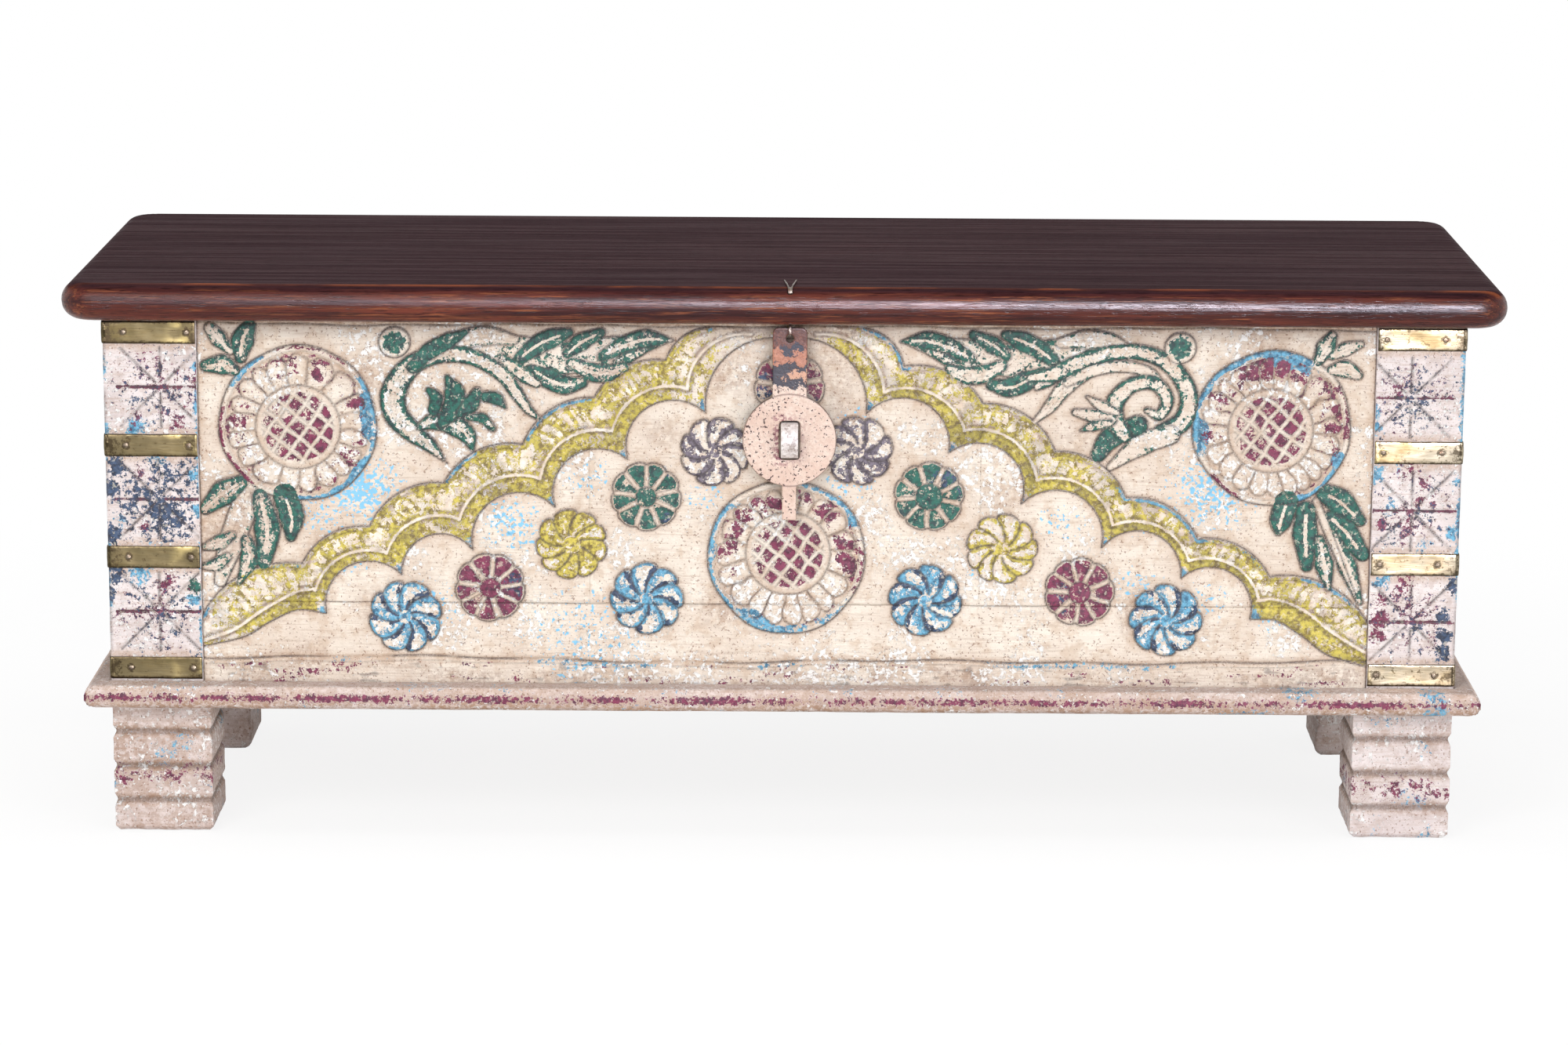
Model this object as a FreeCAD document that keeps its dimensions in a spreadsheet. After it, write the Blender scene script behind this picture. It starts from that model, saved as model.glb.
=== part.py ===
"""Damchiya chest: carved and painted boards between corner posts, with a hinged lid and a hasp.

Lengths are millimetres. +Z is up and the front faces -Y. The origin is on the floor, under the
middle of the lid.
"""

import FreeCAD, Part
import math
import os
from types import SimpleNamespace

import Sketcher

SIZES = {
    # the whole chest
    "overall_height": 460,
    "body_width": 1098,
    "body_depth": 340,
    "base_height": 108,
    # lid
    "lid_side_overhang": 31,
    "lid_front_overhang": 30,
    "lid_thickness": 30,
    "lid_nose_flat": 1,
    "lid_corner_radius": 28,
    "lid_gap": 0.3,
    "batten_width": 46,
    "batten_thickness": 16,
    "batten_inset": 37,
    "batten_room": 42,
    "batten_nail_inset": 24,
    # corner posts and their feet
    "post_width": 82,
    "left_stile_width": 76,
    "right_stile_width": 72,
    "wall_lap": 8,
    "foot_chamfer": 4,
    "notch_height": 10,
    "notch_depth": 2.4,
    "first_notch": 27,
    "last_notch_under": 23,
    # boards of the walls and floor
    "front_board": 22,
    "wall_board": 20,
    "front_seam_rise": 87,
    "floor_board": 16,
    "floor_gap": 0.5,
    "bearer_width": 20,
    "bearer_height": 18,
    # base moulding
    "moulding_height": 21,
    "moulding_reach": 20,
    "moulding_nose_flat": 3,
    # carving on the front
    "relief_depth": 3,
    "detail_depth": 1.6,
    "head_border": 6,
    "foot_border": 40,
    "medallion_radius": 63,
    "medallion_rim": 7,
    "medallion_disc": 33,
    "rosette_radius": 28,
    "petal_cut": 6,
    "bud_radius": 13,
    "leaf_bulge": 9,
    # brass corner straps
    "strap_height": 18.6,
    "strap_thickness": 0.8,
    "strap_short": 1,
    "strap_wrap": 60,
    "top_strap_drop": 12.2,
    "bottom_strap_rise": 10.4,
    "nail_head": 6.2,
    "nail_rise": 1.2,
    "nail_shank": 3,
    "nail_length": 12,
    "corner_nail_inset": 17,
    "end_nail_inset": 7,
    # hasp, its staple and the split pin that carries it
    "hasp_thickness": 3,
    "hasp_stand": 9,
    "hasp_width": 28,
    "hasp_across": 5,
    "hasp_corner": 5,
    "plate_radius": 38,
    "plate_drop": 95.7,
    "slot_width": 16.5,
    "slot_height": 31.5,
    "slot_corner": 3,
    "tail_width": 12,
    "tail_reach": 66,
    "eye_radius": 5.2,
    "eye_wire": 2.8,
    "eye_slack": 0.8,
    "eye_hole": 6.2,
    "eye_gap": 0.1,
    "pin_exit_inset": 5.5,
    "pin_width": 5.4,
    "pin_clearance": 0.15,
    "prong_length": 28,
    "prong_wire": 2,
    "prong_angle": 6,
    "staple_width": 14,
    "staple_height": 29,
    "staple_thickness": 3.5,
    "staple_reach": 24,
    "staple_clearance": 0.1,
    "clinch_length": 12,
    # butt hinges
    "hinge_inset": 219,
    "leaf_width": 70,
    "lid_leaf_depth": 46,
    "body_leaf_height": 46,
    "leaf_thickness": 2.2,
    "barrel_radius": 4.5,
    "hinge_pin": 5,
    "pin_running": 0.05,
    "knuckle_gap": 0.3,
    "leaf_clearance": 0.3,
    "flush_head": 7,
    "flush_shank": 3.6,
    "flush_length": 14,
    "flush_sunk": 1.1,
    "flush_inset": 14,
    # how far a cut runs past what it cuts
    "overrun": 5,
}


class Length:
    """A size of the sheet or a formula of sizes, with the number that it comes to now."""

    def __init__(self, formula, number):
        self.formula = formula
        self.number = number

    def __float__(self):
        return self.number

    def __add__(self, other):
        return Length(f"({self.formula} + {formula_of(other)})", self.number + float(other))

    def __sub__(self, other):
        return Length(f"({self.formula} - {formula_of(other)})", self.number - float(other))

    def __mul__(self, other):
        return Length(f"({self.formula} * {formula_of(other)})", self.number * float(other))

    def __truediv__(self, other):
        return Length(f"({self.formula} / {formula_of(other)})", self.number / float(other))

    def __neg__(self):
        return Length(f"(0 - {self.formula})", -self.number)


def formula_of(thing):
    """The text of a length, or of a plain count or sign."""
    return thing.formula if isinstance(thing, Length) else f"({thing})"


def slant(run, rise):
    """The length of a line that goes so far along and so far up."""
    formula = f"sqrt({run.formula} ^ 2 + {rise.formula} ^ 2)"
    return Length(formula, math.hypot(float(run), float(rise)))


def lean(run, rise):
    """The angle of such a line from upright."""
    return Length(f"atan({run.formula} / {rise.formula})", math.degrees(math.atan2(float(run), float(rise))))


document = FreeCAD.newDocument("DamchiyaChest")
sheet = document.addObject("Spreadsheet::Sheet", "Sizes")
for row, (alias, number) in enumerate(SIZES.items(), start=1):
    sheet.set(f"A{row}", alias)
    sheet.set(f"B{row}", str(number))
    sheet.setAlias(f"B{row}", alias)
document.recompute()
size = SimpleNamespace(
    **{alias: Length(f"Sizes.{alias}", float(sheet.get(alias))) for alias in SIZES}
)

# Places that several pieces share.
lid_under = size.overall_height - size.lid_thickness
rim = lid_under - size.lid_gap
side_face = size.body_width / 2
end_face = size.body_depth / 2
left_stile_edge = size.left_stile_width - side_face
right_stile_edge = side_face - size.right_stile_width
floor_up = size.base_height + size.bearer_height
post_inside_x = side_face - size.post_width
post_inside_y = end_face - size.post_width
hasp_line = -end_face - size.hasp_stand
eye_up = lid_under - size.eye_gap - size.eye_wire / 2 - size.eye_radius
eye_inside = size.eye_radius - size.eye_wire / 2
pin_run = size.lid_front_overhang - size.hasp_stand - size.pin_exit_inset
plate_up = rim - size.plate_drop
hinge_line = end_face + size.barrel_radius
hinge_up = lid_under + size.leaf_thickness - size.barrel_radius
hinge_spread = side_face - size.hinge_inset
front_seam = size.base_height + size.front_seam_rise
wall_seam = (size.base_height + rim) / 2
lid_half_width = side_face + size.lid_side_overhang
lid_half_depth = end_face + size.lid_front_overhang

pieces = []


def bind(thing, **lengths):
    """Binds properties of a thing; a double underscore in a name stands for a dot."""
    for name, length in lengths.items():
        thing.setExpression(name.replace("__", "."), formula_of(length))


def place(thing, x=0, y=0, z=0):
    """Binds where a thing stands."""
    bind(thing, Placement__Base__x=x, Placement__Base__y=y, Placement__Base__z=z)


def keep(thing, label):
    """Marks a finished piece of the chest and gives it the name of its file."""
    thing.Label = label
    pieces.append(thing)
    return thing


def block(name, low, high):
    """A box between two corners."""
    box = document.addObject("Part::Box", name)
    bind(box, Length=high[0] - low[0], Width=high[1] - low[1], Height=high[2] - low[2])
    place(box, *low)
    return box


TURNS = {
    "x": FreeCAD.Rotation(FreeCAD.Vector(0, 1, 0), 90),
    "y": FreeCAD.Rotation(FreeCAD.Vector(1, 0, 0), -90),
    "z": FreeCAD.Rotation(),
    "-x": FreeCAD.Rotation(FreeCAD.Vector(0, 1, 0), -90),
    "-y": FreeCAD.Rotation(FreeCAD.Vector(1, 0, 0), 90),
}


def rod(name, radius, length, start, along="z"):
    """A round bar from its start along one axis."""
    bar = document.addObject("Part::Cylinder", name)
    bar.Placement.Rotation = TURNS[along]
    bind(bar, Radius=radius, Height=length)
    place(bar, *start)
    return bar


def stick(name, sides, radius, length, start, along="z"):
    """A many-sided bar from its start along one axis; its corners lie at the radius."""
    bar = document.addObject("Part::Prism", name)
    bar.Polygon = sides
    bar.Placement.Rotation = TURNS[along].multiply(FreeCAD.Rotation(FreeCAD.Vector(0, 0, 1), 180 / sides))
    bind(bar, Circumradius=radius, Height=length)
    place(bar, *start)
    return bar


def join(name, things):
    """One solid of several that meet."""
    union = document.addObject("Part::MultiFuse", name)
    union.Shapes = things
    return union


def group(name, things):
    """Several separate solids that go together."""
    heap = document.addObject("Part::Compound", name)
    heap.Links = things
    return heap


def cut(name, base, tool):
    """A thing less another."""
    rest = document.addObject("Part::Cut", name)
    rest.Base = base
    rest.Tool = tool
    return rest


def shared(name, base, tool):
    """What two things have in common."""
    both = document.addObject("Part::Common", name)
    both.Base = base
    both.Tool = tool
    return both


def made(name, shape):
    """A shape worked out from the sheet's numbers."""
    feature = document.addObject("Part::Feature", name)
    feature.Shape = shape
    return feature


def new_body(name):
    """An empty body."""
    return document.addObject("PartDesign::Body", name)


def sketch_on(body, name, plane, lift=0):
    """A sketch on one of the body's own origin planes."""
    sketch = body.newObject("Sketcher::SketchObject", name)
    roles = {feature.Role: feature for feature in body.Origin.OriginFeatures}
    sketch.AttachmentSupport = (roles[plane], [""])
    sketch.MapMode = "FlatFace"
    bind(sketch, AttachmentOffset__Base__z=lift)
    return sketch


def draw_corners(sketch, corners):
    """Adds a closed outline of straight edges, each corner bound to its place."""
    points = [FreeCAD.Vector(float(x), float(y), 0) for x, y in corners]
    edges = []
    for start, end in zip(points, points[1:] + points[:1]):
        edges.append(sketch.addGeometry(Part.LineSegment(start, end), False))
    for edge, following in zip(edges, edges[1:] + edges[:1]):
        sketch.addConstraint(Sketcher.Constraint("Coincident", edge, 2, following, 1))
    for edge, corner, point in zip(edges, corners, points):
        for way, length, number in zip(("DistanceX", "DistanceY"), corner, (point.x, point.y)):
            rule = sketch.addConstraint(Sketcher.Constraint(way, -1, 1, edge, 1, number))
            sketch.setExpression(f"Constraints[{rule}]", formula_of(length))


def draw_circle(sketch, centre, radius):
    """Adds a circle bound to its place and radius."""
    middle = FreeCAD.Vector(float(centre[0]), float(centre[1]), 0)
    ring = Part.Circle(middle, FreeCAD.Vector(0, 0, 1), float(radius))
    edge = sketch.addGeometry(ring, False)
    for way, length in zip(("DistanceX", "DistanceY"), centre):
        rule = sketch.addConstraint(Sketcher.Constraint(way, -1, 1, edge, 3, float(length)))
        sketch.setExpression(f"Constraints[{rule}]", formula_of(length))
    rule = sketch.addConstraint(Sketcher.Constraint("Radius", edge, float(radius)))
    sketch.setExpression(f"Constraints[{rule}]", formula_of(radius))


def pad(body, sketch, length, both_ways=False):
    """Raises a sketch into a solid."""
    feature = body.newObject("PartDesign::Pad", sketch.Name + "_pad")
    feature.Profile = sketch
    feature.Midplane = both_ways
    bind(feature, Length=length)
    document.recompute()
    return feature


def pocket(body, sketch, both_ways=False, upward=False):
    """Cuts a sketch right through, and checks that it took something away."""
    before = body.Shape.Volume
    feature = body.newObject("PartDesign::Pocket", sketch.Name + "_pocket")
    feature.Profile = sketch
    feature.Type = "ThroughAll"
    feature.Midplane = both_ways
    feature.Reversed = upward
    document.recompute()
    if feature.Shape.Volume >= before:
        raise RuntimeError(f"{feature.Name} cuts nothing")
    return feature


def repeat(body, feature, axis, length, count):
    """Repeats a feature along one axis of its body."""
    roles = {plane.Role: plane for plane in body.Origin.OriginFeatures}
    pattern = body.newObject("PartDesign::LinearPattern", feature.Name + "_row")
    pattern.Originals = [feature]
    pattern.Direction = (roles[axis], [""])
    pattern.Occurrences = count
    bind(pattern, Length=length)
    body.Tip = pattern
    document.recompute()
    return pattern


def dress(body, kind, wanted, length):
    """Rounds or bevels the edges of the body that the test picks."""
    base = body.Tip
    names = [f"Edge{i}" for i, edge in enumerate(base.Shape.Edges, start=1) if wanted(edge)]
    feature = body.newObject(f"PartDesign::{kind}", f"{body.Name}_{kind.lower()}")
    feature.Base = (base, names)
    if kind == "Fillet":
        bind(feature, Radius=length)
    else:
        bind(feature, Size=length)
    document.recompute()
    return feature


def lies_at(level, axis="z"):
    """A test for edges that lie at one level."""

    def wanted(edge):
        box = edge.BoundBox
        low, high = getattr(box, axis.upper() + "Min"), getattr(box, axis.upper() + "Max")
        return math.isclose(low, float(level), abs_tol=1e-4) and math.isclose(high, low, abs_tol=1e-4)

    return wanted


def upright(edge):
    """Whether an edge runs straight up."""
    box = edge.BoundBox
    return math.isclose(box.XLength + box.YLength, 0, abs_tol=1e-4)


def make_nail(name, spot, into, length):
    """A nail with a square shank and a flat six-sided head, driven from its spot on a face."""
    start = list(spot)
    axis = "xyz".index(into[-1])
    sign = -1 if into[0] == "-" else 1
    start[axis] = spot[axis] - size.nail_rise * sign
    head = stick(name + "_head", 6, size.nail_head / 2, size.nail_rise, start, into)
    shank = stick(name + "_shank", 4, size.nail_shank / 2, length, spot, into)
    return join(name, [head, shank])


def make_flush_nail(name, spot, into):
    """A nail whose square head is sunk flush with a face."""
    head = stick(name + "_head", 4, size.flush_head / 2, size.flush_sunk, spot, into)
    shank = stick(name + "_shank", 4, size.flush_shank / 2, size.flush_length, spot, into)
    return join(name, [head, shank])


def strap_levels():
    """The height of the middle of each corner strap, from the top down."""
    top = rim - size.top_strap_drop
    bottom = size.base_height + size.moulding_height + size.bottom_strap_rise
    return [top - (top - bottom) * step / 3 for step in range(4)]


def stile_of(side):
    """The width of the post that shows beside the carved boards."""
    return size.left_stile_width if side < 0 else size.right_stile_width


def make_straps(side, label):
    """Four brass straps bent round a front corner."""
    straps = []
    for step, level in enumerate(strap_levels()):
        low, high = level - size.strap_height / 2, level + size.strap_height / 2
        outer = (side_face + size.strap_thickness) * side
        inner = (side_face - stile_of(side) + size.strap_short) * side
        skin = side_face * side
        front = -end_face - size.strap_thickness
        left, right = (outer, inner) if side < 0 else (inner, outer)
        face = block(f"{label}_{step}_face", (left, front, low), (right, -end_face, high))
        left, right = (outer, skin) if side < 0 else (skin, outer)
        wrap = block(
            f"{label}_{step}_wrap", (left, -end_face, low), (right, size.strap_wrap - end_face, high)
        )
        straps.append(join(f"{label}_{step}", [face, wrap]))
    return group(label + "_whole", straps)


def make_strap_nails(side, label):
    """The nails of the straps at one corner: two on each face of each strap."""
    nails = []
    front = -end_face - size.strap_thickness
    flank = (side_face + size.strap_thickness) * side
    far = stile_of(side) - size.strap_short - size.end_nail_inset
    into = "x" if side < 0 else "-x"
    for step, level in enumerate(strap_levels()):
        for spot, inset in enumerate((size.corner_nail_inset, far)):
            across = (side_face - inset) * side
            face = (across, front, level)
            nails.append(make_nail(f"{label}_{step}_front_{spot}", face, "y", size.nail_length))
        for spot, inset in enumerate((size.corner_nail_inset, size.strap_wrap - size.end_nail_inset)):
            back = inset - end_face
            face = (flank, back, level)
            nails.append(make_nail(f"{label}_{step}_side_{spot}", face, into, size.nail_length))
    return keep(group(label, nails), label)


def make_post(label, side, face, laps):
    """A corner post that runs down into a notched foot, rebated for the boards beside it."""
    board, board_lap, wall_lap = laps
    body = new_body(label + "_body")
    place(body, side_face * side, end_face * face)
    inward, backward = size.post_width * -side, size.post_width * -face
    plan = sketch_on(body, label + "_plan", "XY_Plane")
    draw_corners(plan, [(0, 0), (inward, 0), (inward, backward), (0, backward)])
    pad(body, plan, rim)
    rebates = sketch_on(body, label + "_rebates", "XY_Plane", size.base_height)
    lap_start = (size.post_width - board_lap) * -side
    board_back = board * -face
    draw_corners(rebates, [(lap_start, 0), (inward, 0), (inward, board_back), (lap_start, board_back)])
    lap_start = (size.post_width - wall_lap) * -face
    wall_back = size.wall_board * -side
    draw_corners(rebates, [(0, lap_start), (wall_back, lap_start), (wall_back, backward), (0, backward)])
    pocket(body, rebates, upward=True)
    for name, plane, span, sign in (
        ("front_notch", "XZ_Plane", inward, -side),
        ("side_notch", "YZ_Plane", backward, -face),
    ):
        notch = sketch_on(body, f"{label}_{name}", plane)
        low = size.first_notch - size.notch_height / 2
        high = size.first_notch + size.notch_height / 2
        bottom = size.notch_depth * sign
        draw_corners(notch, [(0, low), (bottom, size.first_notch), (0, high)])
        draw_corners(notch, [(span, low), (span - bottom, size.first_notch), (span, high)])
        cutting = pocket(body, notch, both_ways=True)
        rows = size.base_height - size.last_notch_under - size.first_notch
        repeat(body, cutting, "Z_Axis", rows, 3)
    dress(body, "Chamfer", lies_at(0), size.foot_chamfer)
    return body


def make_posts(nails):
    """The four posts, with holes for the strap nails in the front ones."""
    front_laps = {
        -1: size.post_width - size.left_stile_width,
        1: size.post_width - size.right_stile_width,
    }
    for side, hand in ((-1, "left"), (1, "right")):
        front = make_post(
            f"front_{hand}_post", side, -1, (size.front_board, front_laps[side], size.wall_lap)
        )
        keep(cut(f"front_{hand}_post", front, nails[side]), f"front_{hand}_post")
        back = make_post(
            f"back_{hand}_post", side, 1, (size.wall_board, size.wall_lap, size.wall_lap)
        )
        keep(back, f"back_{hand}_post")


# Carving. Places are shares of the carved field: across from its middle to its edge, and up from
# its lower border to its upper one.
ROSETTE_SHARES = [
    (0.122, 0.63), (0.242, 0.496), (0.369, 0.346), (0.507, 0.216), (0.655, 0.129), (0.239, 0.186),
]
TOP_ROSETTE_SHARE = (0.005, 0.83)
MEDALLION_SHARES = [(0.828, 0.705), (0, 0.319)]
OUTER_CUSP_SHARES = [
    (0.133, 1), (0.202, 0.895), (0.331, 0.783), (0.454, 0.642), (0.582, 0.517), (0.709, 0.388),
    (0.828, 0.275), (1, 0.124),
]
INNER_CUSP_SHARES = [
    (0, 0.945), (0.137, 0.746), (0.274, 0.618), (0.398, 0.47), (0.538, 0.34), (0.667, 0.256), (0.796, 0.138),
]
BAND_FOOT_SHARES = [(0.872, 0.118), (0.918, 0.036), (0.945, 0)]
OUTER_BULGE_SHARE = 0.16
INNER_BULGE_SHARE = 0.38
CROWN_BULGE_SHARE = 0.25
FOOT_BULGE_SHARE = 0.1
NOTCH_SHARE = 0.78
PETALS_IN_ROSETTE = 8
PETALS_IN_MEDALLION = 12
PETALS_IN_BUD = 5
BUD_SHARES = [(0.664, 0.95), (0.616, 0.78)]
LEAF_SHARES = [
    ((0.69, 0.86), (0.63, 0.66)),
    ((0.6, 0.72), (0.46, 0.79)),
    ((0.58, 0.86), (0.38, 0.97)),
    ((0.4, 0.86), (0.2, 0.96)),
    ((0.94, 0.97), (0.985, 0.85)),
    ((0.96, 0.62), (0.99, 0.33)),
    ((0.9, 0.45), (0.97, 0.3)),
]


class Field:
    """The carved part of the front, with its places and its flat shapes."""

    def __init__(self):
        self.middle = (float(left_stile_edge) + float(right_stile_edge)) / 2
        self.half = (float(right_stile_edge) - float(left_stile_edge)) / 2
        self.low = float(size.base_height + size.foot_border)
        self.high = float(rim - size.head_border)
        self.front = -float(end_face)
        self.depth = float(size.relief_depth)
        self.detail = float(size.detail_depth)

    def spot(self, share, side=1):
        """A place on the front face."""
        across, up = share
        return FreeCAD.Vector(
            self.middle + side * across * self.half, self.front, self.low + up * (self.high - self.low)
        )

    def prism(self, wire, depth):
        """A flat outline carried back from the front face."""
        return Part.Face(wire).extrude(FreeCAD.Vector(0, depth, 0))

    def disc(self, centre, radius, depth):
        """A round boss or sinking."""
        return Part.makeCylinder(radius, depth, centre, FreeCAD.Vector(0, 1, 0))


def arc_between(start, end, bulge_share, towards):
    """An arc whose rise is a share of its chord, on the side that towards points to."""
    chord = end - start
    square = FreeCAD.Vector(chord.z, 0, -chord.x)
    if square.dot(towards) < 0:
        square = -square
    middle = (start + end) / 2 + square * bulge_share
    return Part.Arc(start, middle, end).toShape()


def chain(points, bulge_share, towards):
    """Arcs from each point to the next."""
    return [arc_between(start, end, bulge_share, towards) for start, end in zip(points, points[1:])]


def band_half(field, side):
    """One half of the scalloped arch, from the middle of the chest down to its foot."""
    up = FreeCAD.Vector(side, 0, 1)
    outer = [field.spot(share, side) for share in OUTER_CUSP_SHARES]
    inner = [field.spot(share, side) for share in INNER_CUSP_SHARES]
    foot = [field.spot(share, side) for share in BAND_FOOT_SHARES]
    crown, corner = field.spot((0, 1), side), field.spot((1, 0), side)
    edges = [Part.makeLine(crown, outer[0])]
    edges += chain(outer, OUTER_BULGE_SHARE, up)
    edges += [Part.makeLine(outer[-1], corner), Part.makeLine(corner, foot[-1])]
    edges += chain(foot[::-1] + inner[-1:], FOOT_BULGE_SHARE, up)
    edges += chain(inner[:0:-1], INNER_BULGE_SHARE, up)
    edges += chain(inner[1::-1], CROWN_BULGE_SHARE, up)
    edges.append(Part.makeLine(inner[0], crown))
    return field.prism(Part.Wire(edges), field.depth)


def leaf(field, ends, side):
    """A leaf of two arcs between its tips."""
    start, end = (field.spot(share, side) for share in ends)
    up = FreeCAD.Vector(0, 0, 1)
    share = float(size.leaf_bulge) / (end - start).Length
    edges = [arc_between(start, end, share, up), arc_between(end, start, share, -up)]
    return field.prism(Part.Wire(edges), field.depth)


def star(field, centre, radii, count):
    """A rosette of pointed petals round its centre."""
    corners = []
    for step in range(2 * count):
        turn = math.pi * step / count
        radius = radii[step % 2]
        corners.append(centre + FreeCAD.Vector(math.cos(turn) * radius, 0, math.sin(turn) * radius))
    return field.prism(Part.makePolygon(corners + corners[:1]), field.depth)


def petal_cuts(field, centre, radii, count):
    """Wedges cut between the petals of a medallion."""
    inner, outer = radii
    half = float(size.petal_cut) / 2
    cuts = []
    for step in range(count):
        turn = 2 * math.pi * (step + 0.5) / count
        out = FreeCAD.Vector(math.cos(turn), 0, math.sin(turn))
        across = FreeCAD.Vector(-math.sin(turn), 0, math.cos(turn))
        tip, middle = centre + out * inner, centre + out * outer
        wire = Part.makePolygon([tip, middle + across * half, middle - across * half, tip])
        cuts.append(field.prism(wire, field.detail))
    return cuts


def carve(field):
    """What is cut away from the front, as one tool: the ground between the motifs and their petals."""
    motifs = [band_half(field, side) for side in (-1, 1)]
    motifs += [leaf(field, ends, side) for ends in LEAF_SHARES for side in (-1, 1)]
    for shares, radius, petals in (
        (BUD_SHARES, size.bud_radius, PETALS_IN_BUD),
        (ROSETTE_SHARES, size.rosette_radius, PETALS_IN_ROSETTE),
    ):
        radii = (float(radius), float(radius) * NOTCH_SHARE)
        for share in shares:
            motifs += [star(field, field.spot(share, side), radii, petals) for side in (-1, 1)]
    radii = (float(size.rosette_radius), float(size.rosette_radius) * NOTCH_SHARE)
    motifs.append(star(field, field.spot(TOP_ROSETTE_SHARE), radii, PETALS_IN_ROSETTE))
    medallion, disc = float(size.medallion_radius), float(size.medallion_disc)
    rim_inside = medallion - float(size.medallion_rim)
    details = []
    for share, side in [(MEDALLION_SHARES[0], -1), (MEDALLION_SHARES[0], 1), (MEDALLION_SHARES[1], 1)]:
        centre = field.spot(share, side)
        motifs.append(field.disc(centre, medallion, field.depth))
        details += petal_cuts(field, centre, (disc, rim_inside), PETALS_IN_MEDALLION)
    corner = field.spot((-1, 0))
    ground = Part.makeBox(2 * field.half, field.depth, field.high - field.low, corner)
    return ground.cut(motifs).fuse(details)


def make_front():
    """The carved front in two boards, slotted for the staple's legs."""
    low = (left_stile_edge, -end_face, size.base_height)
    high = (right_stile_edge, size.front_board - end_face, rim)
    carved = cut("front_carved", block("front_blank", low, high), made("carving", carve(Field())))
    slots = []
    for sign in (-1, 1):
        leg = (size.staple_height - size.staple_thickness) / 2 * sign
        middle = plate_up + leg
        half = size.staple_thickness / 2 + size.staple_clearance
        left = size.hasp_across - size.staple_width / 2 - size.staple_clearance
        right = size.hasp_across + size.staple_width / 2 + size.staple_clearance
        slots.append(
            block(
                f"staple_slot_{'under' if sign < 0 else 'over'}",
                (left, -end_face - size.overrun, middle - half),
                (right, size.front_board - end_face + size.overrun, middle + half),
            )
        )
    slotted = cut("front_slotted", carved, group("staple_slots", slots))
    deep_low = (left_stile_edge, -end_face - size.overrun, size.base_height)
    deep_high = (right_stile_edge, size.front_board - end_face, front_seam)
    lower = block("front_lower_zone", deep_low, deep_high)
    keep(shared("front_board_lower", slotted, lower), "front_board_lower")
    keep(cut("front_board_upper", slotted, lower), "front_board_upper")


def make_walls(nails):
    """Plain boards at the back and the sides, each wall in two boards."""
    half = side_face - size.post_width + size.wall_lap
    inner = end_face - size.wall_board
    lower = block("back_board_lower_box", (-half, inner, size.base_height), (half, end_face, wall_seam))
    keep(lower, "back_board_lower")
    upper = block("back_board_upper_box", (-half, inner, wall_seam), (half, end_face, rim))
    keep(cut("back_board_upper_cut", upper, nails), "back_board_upper")
    half = end_face - size.post_width + size.wall_lap
    for side, hand in ((-1, "left"), (1, "right")):
        near, far = (side_face - size.wall_board) * side, side_face * side
        left, right = (far, near) if side < 0 else (near, far)
        for part, low, high in (
            ("lower", size.base_height, wall_seam),
            ("upper", wall_seam, rim),
        ):
            label = f"{hand}_side_board_{part}"
            keep(block(label + "_box", (left, -half, low), (right, half, high)), label)


def make_floor():
    """Four floor boards on bearers along the walls."""
    front, back = size.front_board - end_face, end_face - size.wall_board
    end = side_face - size.wall_board
    top = floor_up + size.floor_board
    runs = (
        ("front", front, -post_inside_y, post_inside_x),
        ("middle_front", -post_inside_y, -size.floor_gap / 2, end),
        ("middle_back", size.floor_gap / 2, post_inside_y, end),
        ("back", post_inside_y, back, post_inside_x),
    )
    for name, near, far, half in runs:
        keep(
            block(f"floor_board_{name}_box", (-half, near, floor_up), (half, far, top)),
            f"floor_board_{name}",
        )
    bearers = (
        ("front", (-post_inside_x, front), (post_inside_x, front + size.bearer_width)),
        ("back", (-post_inside_x, back - size.bearer_width), (post_inside_x, back)),
        ("left", (-end, -post_inside_y), (size.bearer_width - end, post_inside_y)),
        ("right", (end - size.bearer_width, -post_inside_y), (end, post_inside_y)),
    )
    for name, low, high in bearers:
        low, high = (*low, size.base_height), (*high, floor_up)
        keep(block(f"floor_bearer_{name}_box", low, high), f"floor_bearer_{name}")


def make_moulding(label, turn, half, stand):
    """A length of base moulding with a rounded nose and mitred ends."""
    body = new_body(label + "_body")
    body.Placement.Rotation = FreeCAD.Rotation(FreeCAD.Vector(0, 0, 1), turn)
    sine, cosine = round(math.sin(math.radians(turn))), round(math.cos(math.radians(turn)))
    place(body, stand * sine, stand * -cosine, size.base_height)
    reach, over = size.moulding_reach, size.overrun
    tip = half + reach
    plan = sketch_on(body, label + "_plan", "XY_Plane")
    draw_corners(plan, [(-tip, 0), (tip, 0), (tip, -reach), (-tip, -reach)])
    pad(body, plan, size.moulding_height)
    at_nose = lies_at(-reach, "y")
    nose = (size.moulding_height - size.moulding_nose_flat) / 2
    dress(body, "Fillet", lambda edge: at_nose(edge) and not upright(edge), nose)
    mitres = sketch_on(body, label + "_mitres", "XY_Plane")
    for sign in (-1, 1):
        near, far = (half - over) * sign, (tip + over) * sign
        draw_corners(mitres, [(near, over), (far, over), (far, -reach - over)])
    pocket(body, mitres, upward=True)
    return keep(body, label)


def make_mouldings():
    """The base moulding on all four sides."""
    make_moulding("base_moulding_front", 0, side_face, end_face)
    make_moulding("base_moulding_right", 90, end_face, side_face)
    make_moulding("base_moulding_back", 180, side_face, end_face)
    make_moulding("base_moulding_left", 270, end_face, side_face)


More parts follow.
